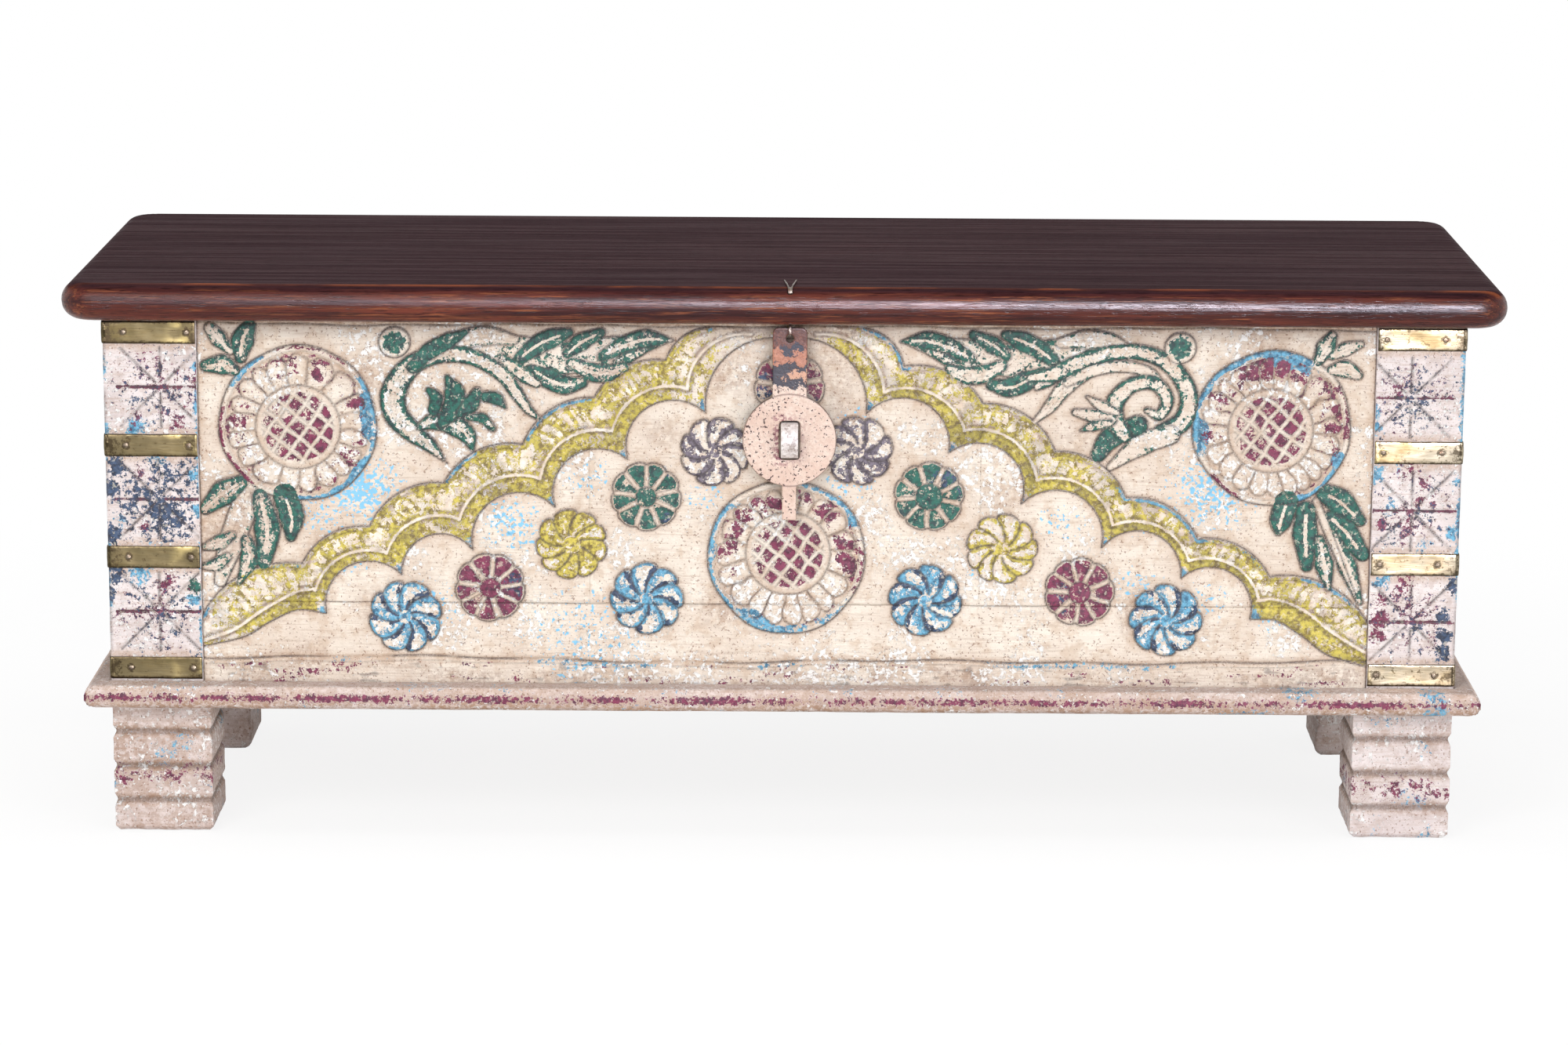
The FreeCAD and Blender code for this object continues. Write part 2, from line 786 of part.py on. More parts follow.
def hinge_shapes(hand, middle):
    """The sizes that both leaves of one hinge share."""
    half = size.leaf_width / 2
    knuckle = size.leaf_width / 6
    return SimpleNamespace(
        hand=hand,
        middle=middle,
        left=middle - half,
        right=middle + half,
        knuckle_left=middle - knuckle,
        knuckle_right=middle + knuckle,
        beside=hinge_line - size.barrel_radius - size.leaf_clearance,
        under=hinge_up - size.barrel_radius - size.leaf_clearance,
        lid_near=hinge_line - size.lid_leaf_depth,
        body_low=hinge_up - size.body_leaf_height,
        leaf_top=lid_under + size.leaf_thickness,
        leaf_back=end_face + size.leaf_thickness,
    )


def hinge_bore(name, hinge, radius):
    """The hole through all knuckles of a hinge."""
    start = (hinge.left - size.overrun, hinge_line, hinge_up)
    return rod(name, radius, size.leaf_width + size.overrun * 2, start, "x")


def make_body_leaf(hinge, nails):
    """The leaf on the back of the chest, with the two outer knuckles."""
    name = f"{hinge.hand}_hinge_body_leaf"
    half_gap = size.knuckle_gap / 2
    low, high = (hinge.left, end_face, hinge.body_low), (hinge.right, hinge.leaf_back, hinge.under)
    parts = [block(name + "_plate", low, high)]
    for end, left, right in (
        ("left", hinge.left, hinge.knuckle_left - half_gap),
        ("right", hinge.knuckle_right + half_gap, hinge.right),
    ):
        low, high = (left, end_face, hinge.under), (right, hinge.leaf_back, hinge_up)
        parts.append(block(f"{name}_{end}_web", low, high))
        start = (left, hinge_line, hinge_up)
        parts.append(rod(f"{name}_{end}_knuckle", size.barrel_radius, right - left, start, "x"))
    whole = join(name + "_whole", parts)
    bored = cut(name + "_bored", whole, hinge_bore(name + "_bore", hinge, size.hinge_pin / 2))
    return keep(cut(name, bored, nails), name)


def make_lid_leaf(hinge, nails):
    """The leaf let into the underside of the lid, with the middle knuckle."""
    name = f"{hinge.hand}_hinge_lid_leaf"
    left = hinge.knuckle_left + size.knuckle_gap / 2
    right = hinge.knuckle_right - size.knuckle_gap / 2
    low, high = (hinge.left, hinge.lid_near, lid_under), (hinge.right, hinge.beside, hinge.leaf_top)
    plate = block(name + "_plate", low, high)
    web = block(name + "_web", (left, hinge.beside, lid_under), (right, hinge_line, hinge.leaf_top))
    knuckle = rod(name + "_knuckle", size.barrel_radius, right - left, (left, hinge_line, hinge_up), "x")
    whole = join(name + "_whole", [plate, web, knuckle])
    running = size.hinge_pin / 2 + size.pin_running
    bored = cut(name + "_bored", whole, hinge_bore(name + "_bore", hinge, running))
    return keep(cut(name, bored, nails), name)


def make_hinge_pin(hinge):
    """The pin of a hinge, tight in the outer knuckles and flush with their ends."""
    name = f"{hinge.hand}_hinge_pin"
    start = (hinge.left, hinge_line, hinge_up)
    return keep(rod(name + "_rod", size.hinge_pin / 2, size.leaf_width, start, "x"), name)


def hinge_beds(hinge):
    """The recesses in the lid for one leaf and for the barrel."""
    name = f"{hinge.hand}_hinge"
    side_gap = size.knuckle_gap
    bed = block(
        name + "_leaf_bed",
        (hinge.left - side_gap, hinge.lid_near - side_gap, lid_under - size.overrun),
        (hinge.right + side_gap, hinge.beside, hinge.leaf_top),
    )
    end_room = size.leaf_clearance
    barrel = block(
        name + "_barrel_bed",
        (hinge.left - end_room, hinge.beside, lid_under - size.overrun),
        (
            hinge.right + end_room,
            hinge_line + size.barrel_radius + size.leaf_clearance,
            hinge.leaf_top + size.leaf_clearance,
        ),
    )
    return join(name + "_beds", [bed, barrel])


def hinge_nails(hinge):
    """Four nails through each leaf: those into the lid, and those into the back board."""
    into_lid, into_board = [], []
    columns = (hinge.left + size.flush_inset, hinge.right - size.flush_inset)
    rows = (hinge.lid_near + size.flush_inset, hinge.beside - size.flush_inset)
    levels = (hinge.body_low + size.flush_inset, hinge.under - size.flush_inset)
    for i, across in enumerate(columns):
        for j, back in enumerate(rows):
            into_lid.append(make_flush_nail(f"{hinge.hand}_lid_nail_{i}{j}", (across, back, lid_under), "z"))
        for j, level in enumerate(levels):
            spot = (across, hinge.leaf_back, level)
            into_board.append(make_flush_nail(f"{hinge.hand}_board_nail_{i}{j}", spot, "-y"))
    return into_lid, into_board


PIN_RISE_SHARE = 0.93
PIN_SIDES = 6


def split_pin_shank(name, radius, longer):
    """The leaning six-sided shank of the split pin; wider, and longer at both ends, it is its hole."""
    rise = size.lid_thickness * PIN_RISE_SHARE
    angle = lean(pin_run, rise)
    shank = document.addObject("Part::Prism", name)
    shank.Polygon = PIN_SIDES
    shank.Placement.Rotation = FreeCAD.Rotation(FreeCAD.Vector(1, 0, 0), float(angle))
    bind(
        shank,
        Placement__Rotation__Angle=angle,
        Circumradius=radius,
        Height=slant(pin_run, rise) * (longer * 2 + 1),
    )
    place(shank, size.hasp_across, hasp_line + pin_run * longer, lid_under - rise * longer)
    return shank


def make_prong():
    """One end of the split pin in side view, bent over the lid's nose, as a flat strip of wire."""
    nose = (float(size.lid_thickness) - float(size.lid_nose_flat)) / 2
    centre = FreeCAD.Vector(0, nose - float(lid_half_depth), float(size.overall_height) - nose)
    inner = nose + float(size.eye_gap)
    outer = inner + float(size.prong_wire)
    start = math.asin((centre.y - float(hasp_line - pin_run)) / inner)

    def around(radius, angle):
        return centre + FreeCAD.Vector(0, -radius * math.sin(angle), radius * math.cos(angle))

    back = FreeCAD.Vector(0, float(size.prong_length), 0)
    outline = [
        Part.Arc(around(inner, start), around(inner, start / 2), around(inner, 0)).toShape(),
        Part.makeLine(around(inner, 0), around(inner, 0) + back),
        Part.makeLine(around(inner, 0) + back, around(outer, 0) + back),
        Part.makeLine(around(outer, 0) + back, around(outer, 0)),
        Part.Arc(around(outer, 0), around(outer, start / 2), around(outer, start)).toShape(),
        Part.makeLine(around(outer, start), around(inner, start)),
    ]
    strip = Part.Face(Part.Wire(outline)).extrude(FreeCAD.Vector(float(size.prong_wire), 0, 0))
    return strip, around(inner, start)


def make_prongs():
    """The two ends of the split pin, spread apart over the lid."""
    prong, root = make_prong()
    spread = []
    for sign in (-1, 1):
        turned = prong.copy()
        turned.translate(FreeCAD.Vector(float(size.prong_wire) * (sign - 1) / 2, 0, 0))
        turned.rotate(root, FreeCAD.Vector(0, 0, 1), -sign * float(size.prong_angle))
        turned.translate(FreeCAD.Vector(float(size.hasp_across), 0, 0))
        spread.append(turned)
    return spread[0].fuse(spread[1])


def make_eye():
    """The ring of the split pin, of square wire."""
    centre = FreeCAD.Vector(float(size.hasp_across), float(hasp_line), float(eye_up))
    half = float(size.eye_wire) / 2
    low, high = float(size.eye_radius) - half, float(size.eye_radius) + half
    spots = ((-half, low), (half, low), (half, high), (-half, high))
    corners = [centre + FreeCAD.Vector(across, 0, lift) for across, lift in spots]
    section = Part.Face(Part.makePolygon(corners + corners[:1]))
    return section.revolve(centre, FreeCAD.Vector(1, 0, 0), 360)


def make_split_pin():
    """The split pin that hangs the hasp from the lid: eye, shank and clinched ends."""
    ring = made("split_pin_eye", make_eye())
    neck_low = eye_up + size.eye_radius
    neck_height = lid_under - neck_low + size.eye_wire
    start = (size.hasp_across, hasp_line, neck_low)
    neck = stick("split_pin_neck", PIN_SIDES, size.eye_wire / 2, neck_height, start)
    shank = split_pin_shank("split_pin_shank", size.pin_width / 2, 0)
    prongs = made("split_pin_prongs", make_prongs())
    return keep(join("hasp_split_pin", [ring, neck, shank, prongs]), "hasp_split_pin")


def make_lid(hinges, hinge_nails, batten_nails):
    """The lid board with a full round nose, and what is cut in it."""
    body = new_body("lid_body")
    place(body, 0, 0, lid_under)
    half_width, half_depth = lid_half_width, lid_half_depth
    plan = sketch_on(body, "lid_plan", "XY_Plane")
    front = [(-half_width, -half_depth), (half_width, -half_depth)]
    draw_corners(plan, front + [(half_width, half_depth), (-half_width, half_depth)])
    pad(body, plan, size.lid_thickness)
    dress(body, "Fillet", upright, size.lid_corner_radius)
    nose = (size.lid_thickness - size.lid_nose_flat) / 2
    bottom, top = lies_at(0), lies_at(size.lid_thickness)
    dress(body, "Fillet", lambda edge: bottom(edge) or top(edge), nose)
    rest = body
    for hinge in hinges:
        rest = cut(f"lid_bedded_{hinge.hand}", rest, hinge_beds(hinge))
    hole_radius = size.pin_width / 2 + size.pin_clearance
    hole = split_pin_shank("split_pin_hole", hole_radius, size.overrun / size.lid_thickness)
    rest = cut("lid_pinned", rest, hole)
    rest = cut("lid_hinge_nailed", rest, hinge_nails)
    return keep(cut("lid_board", rest, batten_nails), "lid_board")


def make_battens():
    """Three battens under the lid, and the nails that hold them."""
    battens, nails = [], []
    spread = post_inside_x - size.batten_inset
    for name, place_share in (("left", -1), ("middle", 0), ("right", 1)):
        middle = spread * place_share
        half, end = size.batten_width / 2, end_face - size.wall_board - size.batten_room
        low = lid_under - size.batten_thickness
        corners = (middle - half, -end, low), (middle + half, end, lid_under)
        battens.append((name, block(f"lid_batten_{name}_box", *corners)))
        for step in (-1, 0, 1):
            spot = (middle, (end - size.batten_nail_inset) * step, low)
            length = size.batten_thickness + size.nail_length
            nails.append(make_nail(f"batten_nail_{name}_{step + 1}", spot, "z", length))
    nails = keep(group("batten_nails", nails), "batten_nails")
    for name, batten in battens:
        keep(cut(f"lid_batten_{name}", batten, nails), f"lid_batten_{name}")
    return nails


def through_at(*levels):
    """Chooses the short edges through the hasp at the given heights."""
    tests = [lies_at(level, "z") for level in levels]

    def chosen(edge):
        return any(test(edge) for test in tests) and edge.BoundBox.XLength < edge.BoundBox.YLength

    return chosen


def make_hasp():
    """The hasp: strap with an eye hole, round plate with a slot, and a narrow tail."""
    body = new_body("hasp_body")
    place(body, 0, hasp_line, 0)
    middle, up = size.hasp_across, plate_up
    top = eye_up + eye_inside - size.eye_slack
    half = size.hasp_width / 2
    strap = sketch_on(body, "hasp_strap", "XZ_Plane")
    left, right = middle - half, middle + half
    draw_corners(strap, [(left, up), (right, up), (right, top), (left, top)])
    pad(body, strap, size.hasp_thickness, both_ways=True)
    dress(body, "Fillet", through_at(top), size.hasp_corner)
    plate = sketch_on(body, "hasp_plate", "XZ_Plane")
    draw_circle(plate, (middle, up), size.plate_radius)
    pad(body, plate, size.hasp_thickness, both_ways=True)
    half = size.tail_width / 2
    tail = sketch_on(body, "hasp_tail", "XZ_Plane")
    low = up - size.tail_reach
    draw_corners(tail, [(middle - half, low), (middle + half, low), (middle + half, up), (middle - half, up)])
    pad(body, tail, size.hasp_thickness, both_ways=True)
    across, tall = size.slot_width / 2, size.slot_height / 2
    slot = sketch_on(body, "hasp_slot", "XZ_Plane")
    left, right = middle - across, middle + across
    draw_corners(slot, [(left, up - tall), (right, up - tall), (right, up + tall), (left, up + tall)])
    pocket(body, slot, both_ways=True)
    dress(body, "Fillet", through_at(up - tall, up + tall), size.slot_corner)
    eye = sketch_on(body, "hasp_eye", "XZ_Plane")
    draw_circle(eye, (middle, eye_up - eye_inside + size.eye_slack - size.eye_hole / 2), size.eye_hole / 2)
    pocket(body, eye, both_ways=True)
    return keep(body, "hasp")


def make_staple():
    """The staple: a strap bent to a loop, through the front board and clinched behind it."""
    left, right = size.hasp_across - size.staple_width / 2, size.hasp_across + size.staple_width / 2
    inside = size.front_board - end_face
    bend = size.staple_height / 2 - size.staple_reach - end_face

    def loop(name, radius, end, low, high):
        bow = rod(f"{name}_bow", radius, high - low, (low, bend, plate_up), "x")
        legs = block(f"{name}_legs", (low, bend, plate_up - radius), (high, end, plate_up + radius))
        return join(name, [bow, legs])

    outer_radius, behind = size.staple_height / 2, inside + size.staple_thickness
    outer = loop("staple_outer", outer_radius, behind, left, right)
    inner_radius = outer_radius - size.staple_thickness
    past = (left - size.overrun, right + size.overrun)
    inner = loop("staple_inner", inner_radius, behind + size.overrun, *past)
    bow = cut("staple_loop", outer, inner)
    clinches = []
    for name, sign in (("under", -1), ("over", 1)):
        near = plate_up + (size.staple_height / 2) * sign
        far = near + size.clinch_length * sign
        low, high = (far, near) if sign < 0 else (near, far)
        clinches.append(block(f"staple_clinch_{name}", (left, inside, low), (right, behind, high)))
    return keep(join("lock_staple", [bow] + clinches), "lock_staple")


def make_hinges():
    """Both hinges with their nails; returns what has to be cut for them."""
    hinges = [hinge_shapes("left", -hinge_spread), hinge_shapes("right", hinge_spread)]
    lid_nails, board_nails = [], []
    for hinge in hinges:
        into_lid, into_board = hinge_nails(hinge)
        lid_nails += into_lid
        board_nails += into_board
    lid_nails = keep(group("hinge_nails_lid", lid_nails), "hinge_nails_lid")
    board_nails = keep(group("hinge_nails_body", board_nails), "hinge_nails_body")
    for hinge in hinges:
        make_body_leaf(hinge, board_nails)
        make_lid_leaf(hinge, lid_nails)
        make_hinge_pin(hinge)
    return hinges, lid_nails, board_nails


def make_corners():
    """The straps and their nails at both front corners; returns the nails by side."""
    nails = {}
    for side, hand in ((-1, "left"), (1, "right")):
        nails[side] = make_strap_nails(side, f"{hand}_strap_nails")
        whole = make_straps(side, f"{hand}_corner_straps")
        keep(cut(f"{hand}_corner_straps", whole, nails[side]), f"{hand}_corner_straps")
    return nails


def write_pieces():
    """Checks every object and writes each piece to its own file."""
    document.recompute()
    for thing in document.Objects:
        if "Invalid" in thing.State or "Error" in thing.State:
            raise RuntimeError(f"{thing.Name} failed: {thing.State}")
    os.makedirs("parts", exist_ok=True)
    for piece in pieces:
        shape = piece.Shape
        if shape.isNull() or not shape.isValid():
            raise RuntimeError(f"{piece.Label} has no valid shape")
        shape.exportStep(f"parts/{piece.Label}.step")


corner_nails = make_corners()
make_posts(corner_nails)
hinges, lid_nails, board_nails = make_hinges()
make_walls(board_nails)
make_front()
make_floor()
make_mouldings()
make_staple()
make_lid(hinges, lid_nails, make_battens())
make_split_pin()
make_hasp()
write_pieces()
print(f"{len(pieces)} pieces")
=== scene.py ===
"""Looks of a damchiya chest: carved and painted front, worn posts, brass straps, iron hasp and dark lid."""
import math

import bmesh
import bpy
import numpy as np
from mathutils import Matrix, Vector


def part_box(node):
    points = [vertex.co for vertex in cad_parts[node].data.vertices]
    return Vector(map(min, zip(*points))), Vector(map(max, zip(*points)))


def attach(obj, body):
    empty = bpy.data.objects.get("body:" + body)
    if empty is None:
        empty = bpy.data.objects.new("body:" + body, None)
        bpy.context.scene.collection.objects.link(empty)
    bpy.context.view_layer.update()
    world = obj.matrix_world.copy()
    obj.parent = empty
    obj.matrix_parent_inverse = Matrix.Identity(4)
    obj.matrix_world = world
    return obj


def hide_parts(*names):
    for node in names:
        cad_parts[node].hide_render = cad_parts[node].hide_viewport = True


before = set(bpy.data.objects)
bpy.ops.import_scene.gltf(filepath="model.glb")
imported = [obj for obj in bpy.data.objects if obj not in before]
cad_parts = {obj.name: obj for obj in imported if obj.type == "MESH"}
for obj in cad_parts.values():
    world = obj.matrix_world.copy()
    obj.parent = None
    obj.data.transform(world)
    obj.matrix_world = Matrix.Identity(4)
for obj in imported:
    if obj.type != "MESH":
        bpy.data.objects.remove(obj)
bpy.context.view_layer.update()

MM = 0.001
TAU = 2 * math.pi

# Places of the front in millimetres, as in the construction.
MIRROR_LINE = 2.5
FRONT_LEFT, FRONT_RIGHT = -473, 477
FRONT_LOW, FRONT_SEAM, FRONT_HIGH = 108, 195, 429.7
GROUND_FACE = -167.3
BOARD_BACK = -148
LOWER_LINE, UPPER_LINE = 148, 425
CARVING_TOP = 2.3
PROUDEST, DEEPEST = -169.95, GROUND_FACE + 2.2
FOOT_TOP, NOTCH_LEVELS = 106, (27, 56, 85)
FAR_AWAY = 99.0
STRAP_LEVELS = (417.5, 324.8, 232.1, 139.4)


def rgb(red, green, blue):
    """A colour as seen, from 0 to 255, for a shader."""
    seen = np.array((red, green, blue)) / 255
    linear = np.where(seen <= 0.04045, seen / 12.92, ((seen + 0.055) / 1.055) ** 2.4)
    return (*[float(part) for part in linear], 1.0)


def ease(value, low=0.0, high=1.0):
    """From 0 below low to 1 above high, without a corner."""
    share = np.clip((value - low) / (high - low), 0, 1)
    return share * share * (3 - 2 * share)


def ridge(distance, half_width):
    """1 on a line and next to nothing at twice its half width."""
    return np.exp(-((distance / half_width) ** 2))


def cloud(across, up, size, seed):
    """Smooth random values from 0 to 1, with patches of one size."""
    table = np.random.default_rng(seed).random((64, 64))
    a, b = across / size, up / size
    left, low = np.floor(a).astype(int), np.floor(b).astype(int)
    a, b = ease(a - left), ease(b - low)
    near = table[low % 64, left % 64] * (1 - a) + table[low % 64, (left + 1) % 64] * a
    over = table[(low + 1) % 64, left % 64] * (1 - a) + table[(low + 1) % 64, (left + 1) % 64] * a
    return near * (1 - b) + over * b


# Camera

CAMERA_PLACE = (15.98, -3818.4, 1065.5)
CAMERA_TURN, CAMERA_DIP, CAMERA_ROLL = -0.237, 12.39, 0.302
CAMERA_LENS, CAMERA_SENSOR = 105.7, 36


def make_camera():
    """The photograph's point of view."""
    turn, dip, roll = (math.radians(angle) for angle in (CAMERA_TURN, CAMERA_DIP, CAMERA_ROLL))
    forward = Vector((math.sin(turn) * math.cos(dip), math.cos(turn) * math.cos(dip), -math.sin(dip)))
    level = Vector((math.cos(turn), -math.sin(turn), 0))
    above = level.cross(forward)
    right = level * math.cos(roll) + above * math.sin(roll)
    up = above * math.cos(roll) - level * math.sin(roll)
    data = bpy.data.cameras.new("photo_camera")
    data.lens = CAMERA_LENS
    data.sensor_width = CAMERA_SENSOR
    data.clip_end = 100
    camera = bpy.data.objects.new("photo_camera", data)
    bpy.context.scene.collection.objects.link(camera)
    turned = Matrix((right, up, -forward)).transposed().to_4x4()
    camera.matrix_world = Matrix.Translation(Vector(CAMERA_PLACE) * MM) @ turned
    bpy.context.scene.camera = camera


# Materials

# The colour sockets of a mix node go by their place.
MIX_SHARE, MIX_UNDER, MIX_OVER, MIX_RESULT = 0, 6, 7, 2


class Value:
    """A number that a material works out, for plain arithmetic."""

    def __init__(self, finish, socket):
        self.finish, self.socket = finish, socket

    def __add__(self, other):
        return self.finish.math("ADD", self, other)

    def __sub__(self, other):
        return self.finish.math("SUBTRACT", self, other)

    def __mul__(self, other):
        return self.finish.math("MULTIPLY", self, other)

    def __truediv__(self, other):
        return self.finish.math("DIVIDE", self, other)


class Finish:
    """A material, with short ways to add and join its nodes. Sizes are in millimetres on the object."""

    def __init__(self, name, roughness=0.5, metallic=0.0, specular=0.5):
        self.material = bpy.data.materials.new(name)
        self.material.use_nodes = True
        self.nodes = self.material.node_tree.nodes
        self.links = self.material.node_tree.links
        self.shader = self.nodes["Principled BSDF"]
        self.shader.inputs["Roughness"].default_value = roughness
        self.shader.inputs["Metallic"].default_value = metallic
        self.shader.inputs["Specular IOR Level"].default_value = specular
        self.place = self.nodes.new("ShaderNodeTexCoord").outputs["Object"]
        axes = self.add("ShaderNodeSeparateXYZ", {"Vector": self.place}).outputs
        self.across, self.back, self.level = (Value(self, axis) for axis in axes)

    def add(self, kind, inputs, **settings):
        """A node with its settings and inputs, each a value or another node's output."""
        node = self.nodes.new(kind)
        for name, value in settings.items():
            setattr(node, name, value)
        for name, value in inputs.items():
            self.feed(node.inputs[name], value)
        return node

    def feed(self, socket, value):
        """Joins or sets one input."""
        if isinstance(value, Value):
            value = value.socket
        if isinstance(value, bpy.types.NodeSocket):
            self.links.new(value, socket)
        else:
            socket.default_value = value

    def math(self, operation, first, second=0.0):
        """Arithmetic on two values."""
        node = self.add("ShaderNodeMath", {0: first, 1: second}, operation=operation)
        return Value(self, node.outputs[0])

    def noise(self, size, detail=3, rough=0.5, stretch=(1, 1, 1), seed=0, spread=(0.34, 0.66)):
        """Random patches of one size, spread from 0 to 1. The stretch draws them out along an axis."""
        moved = {"Vector": self.place, "Scale": stretch, "Location": (seed * 1.7, seed * 2.3, seed * 3.1)}
        place = self.add("ShaderNodeMapping", moved).outputs["Vector"]
        inputs = {"Vector": place, "Scale": 1 / (size * MM), "Detail": detail, "Roughness": rough}
        return self.step(self.add("ShaderNodeTexNoise", inputs).outputs["Fac"], *spread, kind="LINEAR")

    def step(self, value, low, high, start=0.0, end=1.0, kind="SMOOTHSTEP"):
        """From start below low to end above high."""
        inputs = {"Value": value, "From Min": low, "From Max": high, "To Min": start, "To Max": end}
        return Value(self, self.add("ShaderNodeMapRange", inputs, interpolation_type=kind).outputs["Result"])

    def between(self, value, low, low_end, high, high_end):
        """1 between two places and 0 outside, with soft ends."""
        return self.step(value, low, low_end) * self.step(value, high, high_end, 1, 0)

    def mix(self, share, under, over):
        """One colour over another."""
        inputs = {MIX_SHARE: share, MIX_UNDER: under, MIX_OVER: over}
        return self.add("ShaderNodeMix", inputs, data_type="RGBA", blend_type="MIX").outputs[MIX_RESULT]

    def painted(self, group):
        """The four shares of a painted layer, by name."""
        source = self.add("ShaderNodeAttribute", {}, attribute_name=group)
        parts = self.add("ShaderNodeSeparateColor", {"Color": source.outputs["Color"]}).outputs
        shares = [Value(self, part) for part in (*parts, source.outputs["Alpha"])]
        return dict(zip(LAYER_GROUPS[group], shares))

    def bump(self, height, distance, strength):
        """Small relief from a value, in millimetres."""
        inputs = {"Height": height, "Distance": distance * MM, "Strength": strength}
        return self.add("ShaderNodeBump", inputs).outputs["Normal"]

    def finish(self, colour, roughness, normal):
        """Joins what the shader needs and gives the material."""
        for name, value in (("Base Color", colour), ("Roughness", roughness), ("Normal", normal)):
            self.feed(self.shader.inputs[name], value)
        return self.material


LAYER_GROUPS = {
    "paint_a": ("teal", "plum", "blue", "olive"),
    "paint_b": ("line", "halo", "navy", "grey"),
    "paint_c": ("cream", "spatter", "brown", "white"),
}
LAYERS = [name for names in LAYER_GROUPS.values() for name in names]

# Each old colour of paint, clean and dirty.
PAINT_COLOURS = {
    "olive": (rgb(214, 196, 84), rgb(134, 114, 58)),
    "blue": (rgb(112, 180, 212), rgb(62, 110, 140)),
    "grey": (rgb(128, 118, 130), rgb(72, 62, 72)),
    "teal": (rgb(38, 106, 90), rgb(40, 60, 60)),
    "plum": (rgb(134, 52, 82), rgb(84, 38, 58)),
    "navy": (rgb(66, 86, 116), rgb(38, 46, 62)),
}


def make_painted_wood(name, light, dark, rubbed):
    """Paint rubbed through to brown wood, with older colours in flakes where the layers say so."""
    f = Finish(name, roughness=0.78, specular=0.25)
    shares = {}
    for group in LAYER_GROUPS:
        shares.update(f.painted(group))
    flakes = f.noise(4.5, detail=6, rough=0.7, spread=(0.37, 0.63))
    specks = f.noise(1.5, detail=3, seed=2)
    wear = flakes * 0.62 + specks * 0.3 + 0.06
    broad = f.noise(42, detail=3, seed=3)
    middle = f.noise(9, detail=4, rough=0.6, seed=4)
    grain = f.noise(1.3, detail=3, stretch=(0.05, 1, 1), seed=5)
    colour = f.mix(broad, light, dark)
    colour = f.mix(f.step(middle, 0.45, 1.0, 0, 0.55), colour, rubbed)
    colour = f.mix(f.step(grain, 0.55, 1.0, 0, 0.3), colour, rgb(176, 146, 124))
    colour = f.mix(shares["brown"] * f.step(flakes, 0.1, 0.8), colour, rgb(158, 124, 102))
    halo = shares["halo"] * f.step(specks, 0.0, 0.9, 0.55, 1.0)
    colour = f.mix(halo * 0.8, colour, rgb(186, 152, 124))
    crust = f.noise(4.6, detail=5, rough=0.66, seed=8)
    white = f.step(crust + shares["white"] * 0.62, 1.02, 1.14)
    colour = f.mix(white * 0.85, colour, rgb(250, 248, 246))
    dots = f.step(f.noise(2.0, detail=2, seed=9), 0.93, 0.985)
    colour = f.mix(dots * 0.7, colour, rgb(140, 104, 80))
    spots = f.noise(3.6, detail=2, seed=11) * 0.9 + 0.08
    colour = f.mix(f.step(shares["spatter"] - spots, -0.03, 0.05), colour, rgb(132, 196, 230))
    shade = f.noise(5, detail=6, rough=0.72, seed=14)
    flecks = f.step(f.noise(3.6, detail=4, rough=0.6, seed=15), 0.76, 0.92, 0, 0.42)
    for paint, (clean, dirty) in PAINT_COLOURS.items():
        flaked = f.step(shares[paint] - wear, -0.05, 0.05)
        tone = f.mix(f.step(shade, 0.25, 0.85), clean, dirty)
        tone = f.mix(flecks, tone, rgb(232, 222, 200))
        colour = f.mix(flaked, colour, tone)
    chips = f.step(shares["cream"] - wear * 0.8, -0.05, 0.05)
    colour = f.mix(chips, colour, f.mix(middle, rgb(246, 236, 224), rgb(226, 206, 184)))
    # The line layer is dirt in grooves and joints, and on the arch it is also painted shade along the band's
    # edges.
    lines = shares["line"] * f.step(specks, 0.0, 0.7, 0.6, 1.0)
    colour = f.mix(lines, colour, rgb(68, 58, 56))
    relief = white * 0.6 + middle * 0.6 + shade * 0.5 + grain * -0.22 + specks * 0.25
    return f.finish(colour, f.step(middle, 0, 1, 0.62, 0.86), f.bump(relief, 0.7, 0.9))


def make_plain_wood():
    """Bare brown wood inside and below."""
    f = Finish("bare_wood", roughness=0.75, specular=0.2)
    grain = f.noise(2.2, detail=5, rough=0.6, stretch=(0.05, 1, 1), seed=1)
    broad = f.noise(60, detail=2, stretch=(0.4, 1, 1), seed=2)
    colour = f.mix(grain, rgb(150, 112, 78), rgb(98, 68, 46))
    colour = f.mix(broad * 0.4, colour, rgb(170, 134, 98))
    return f.finish(colour, f.step(grain, 0, 1, 0.62, 0.86), f.bump(grain, 0.3, 0.6))


# Levels in metres between which the lid's nose turns into its top.
NOSE_END = (0.4535, 0.459)


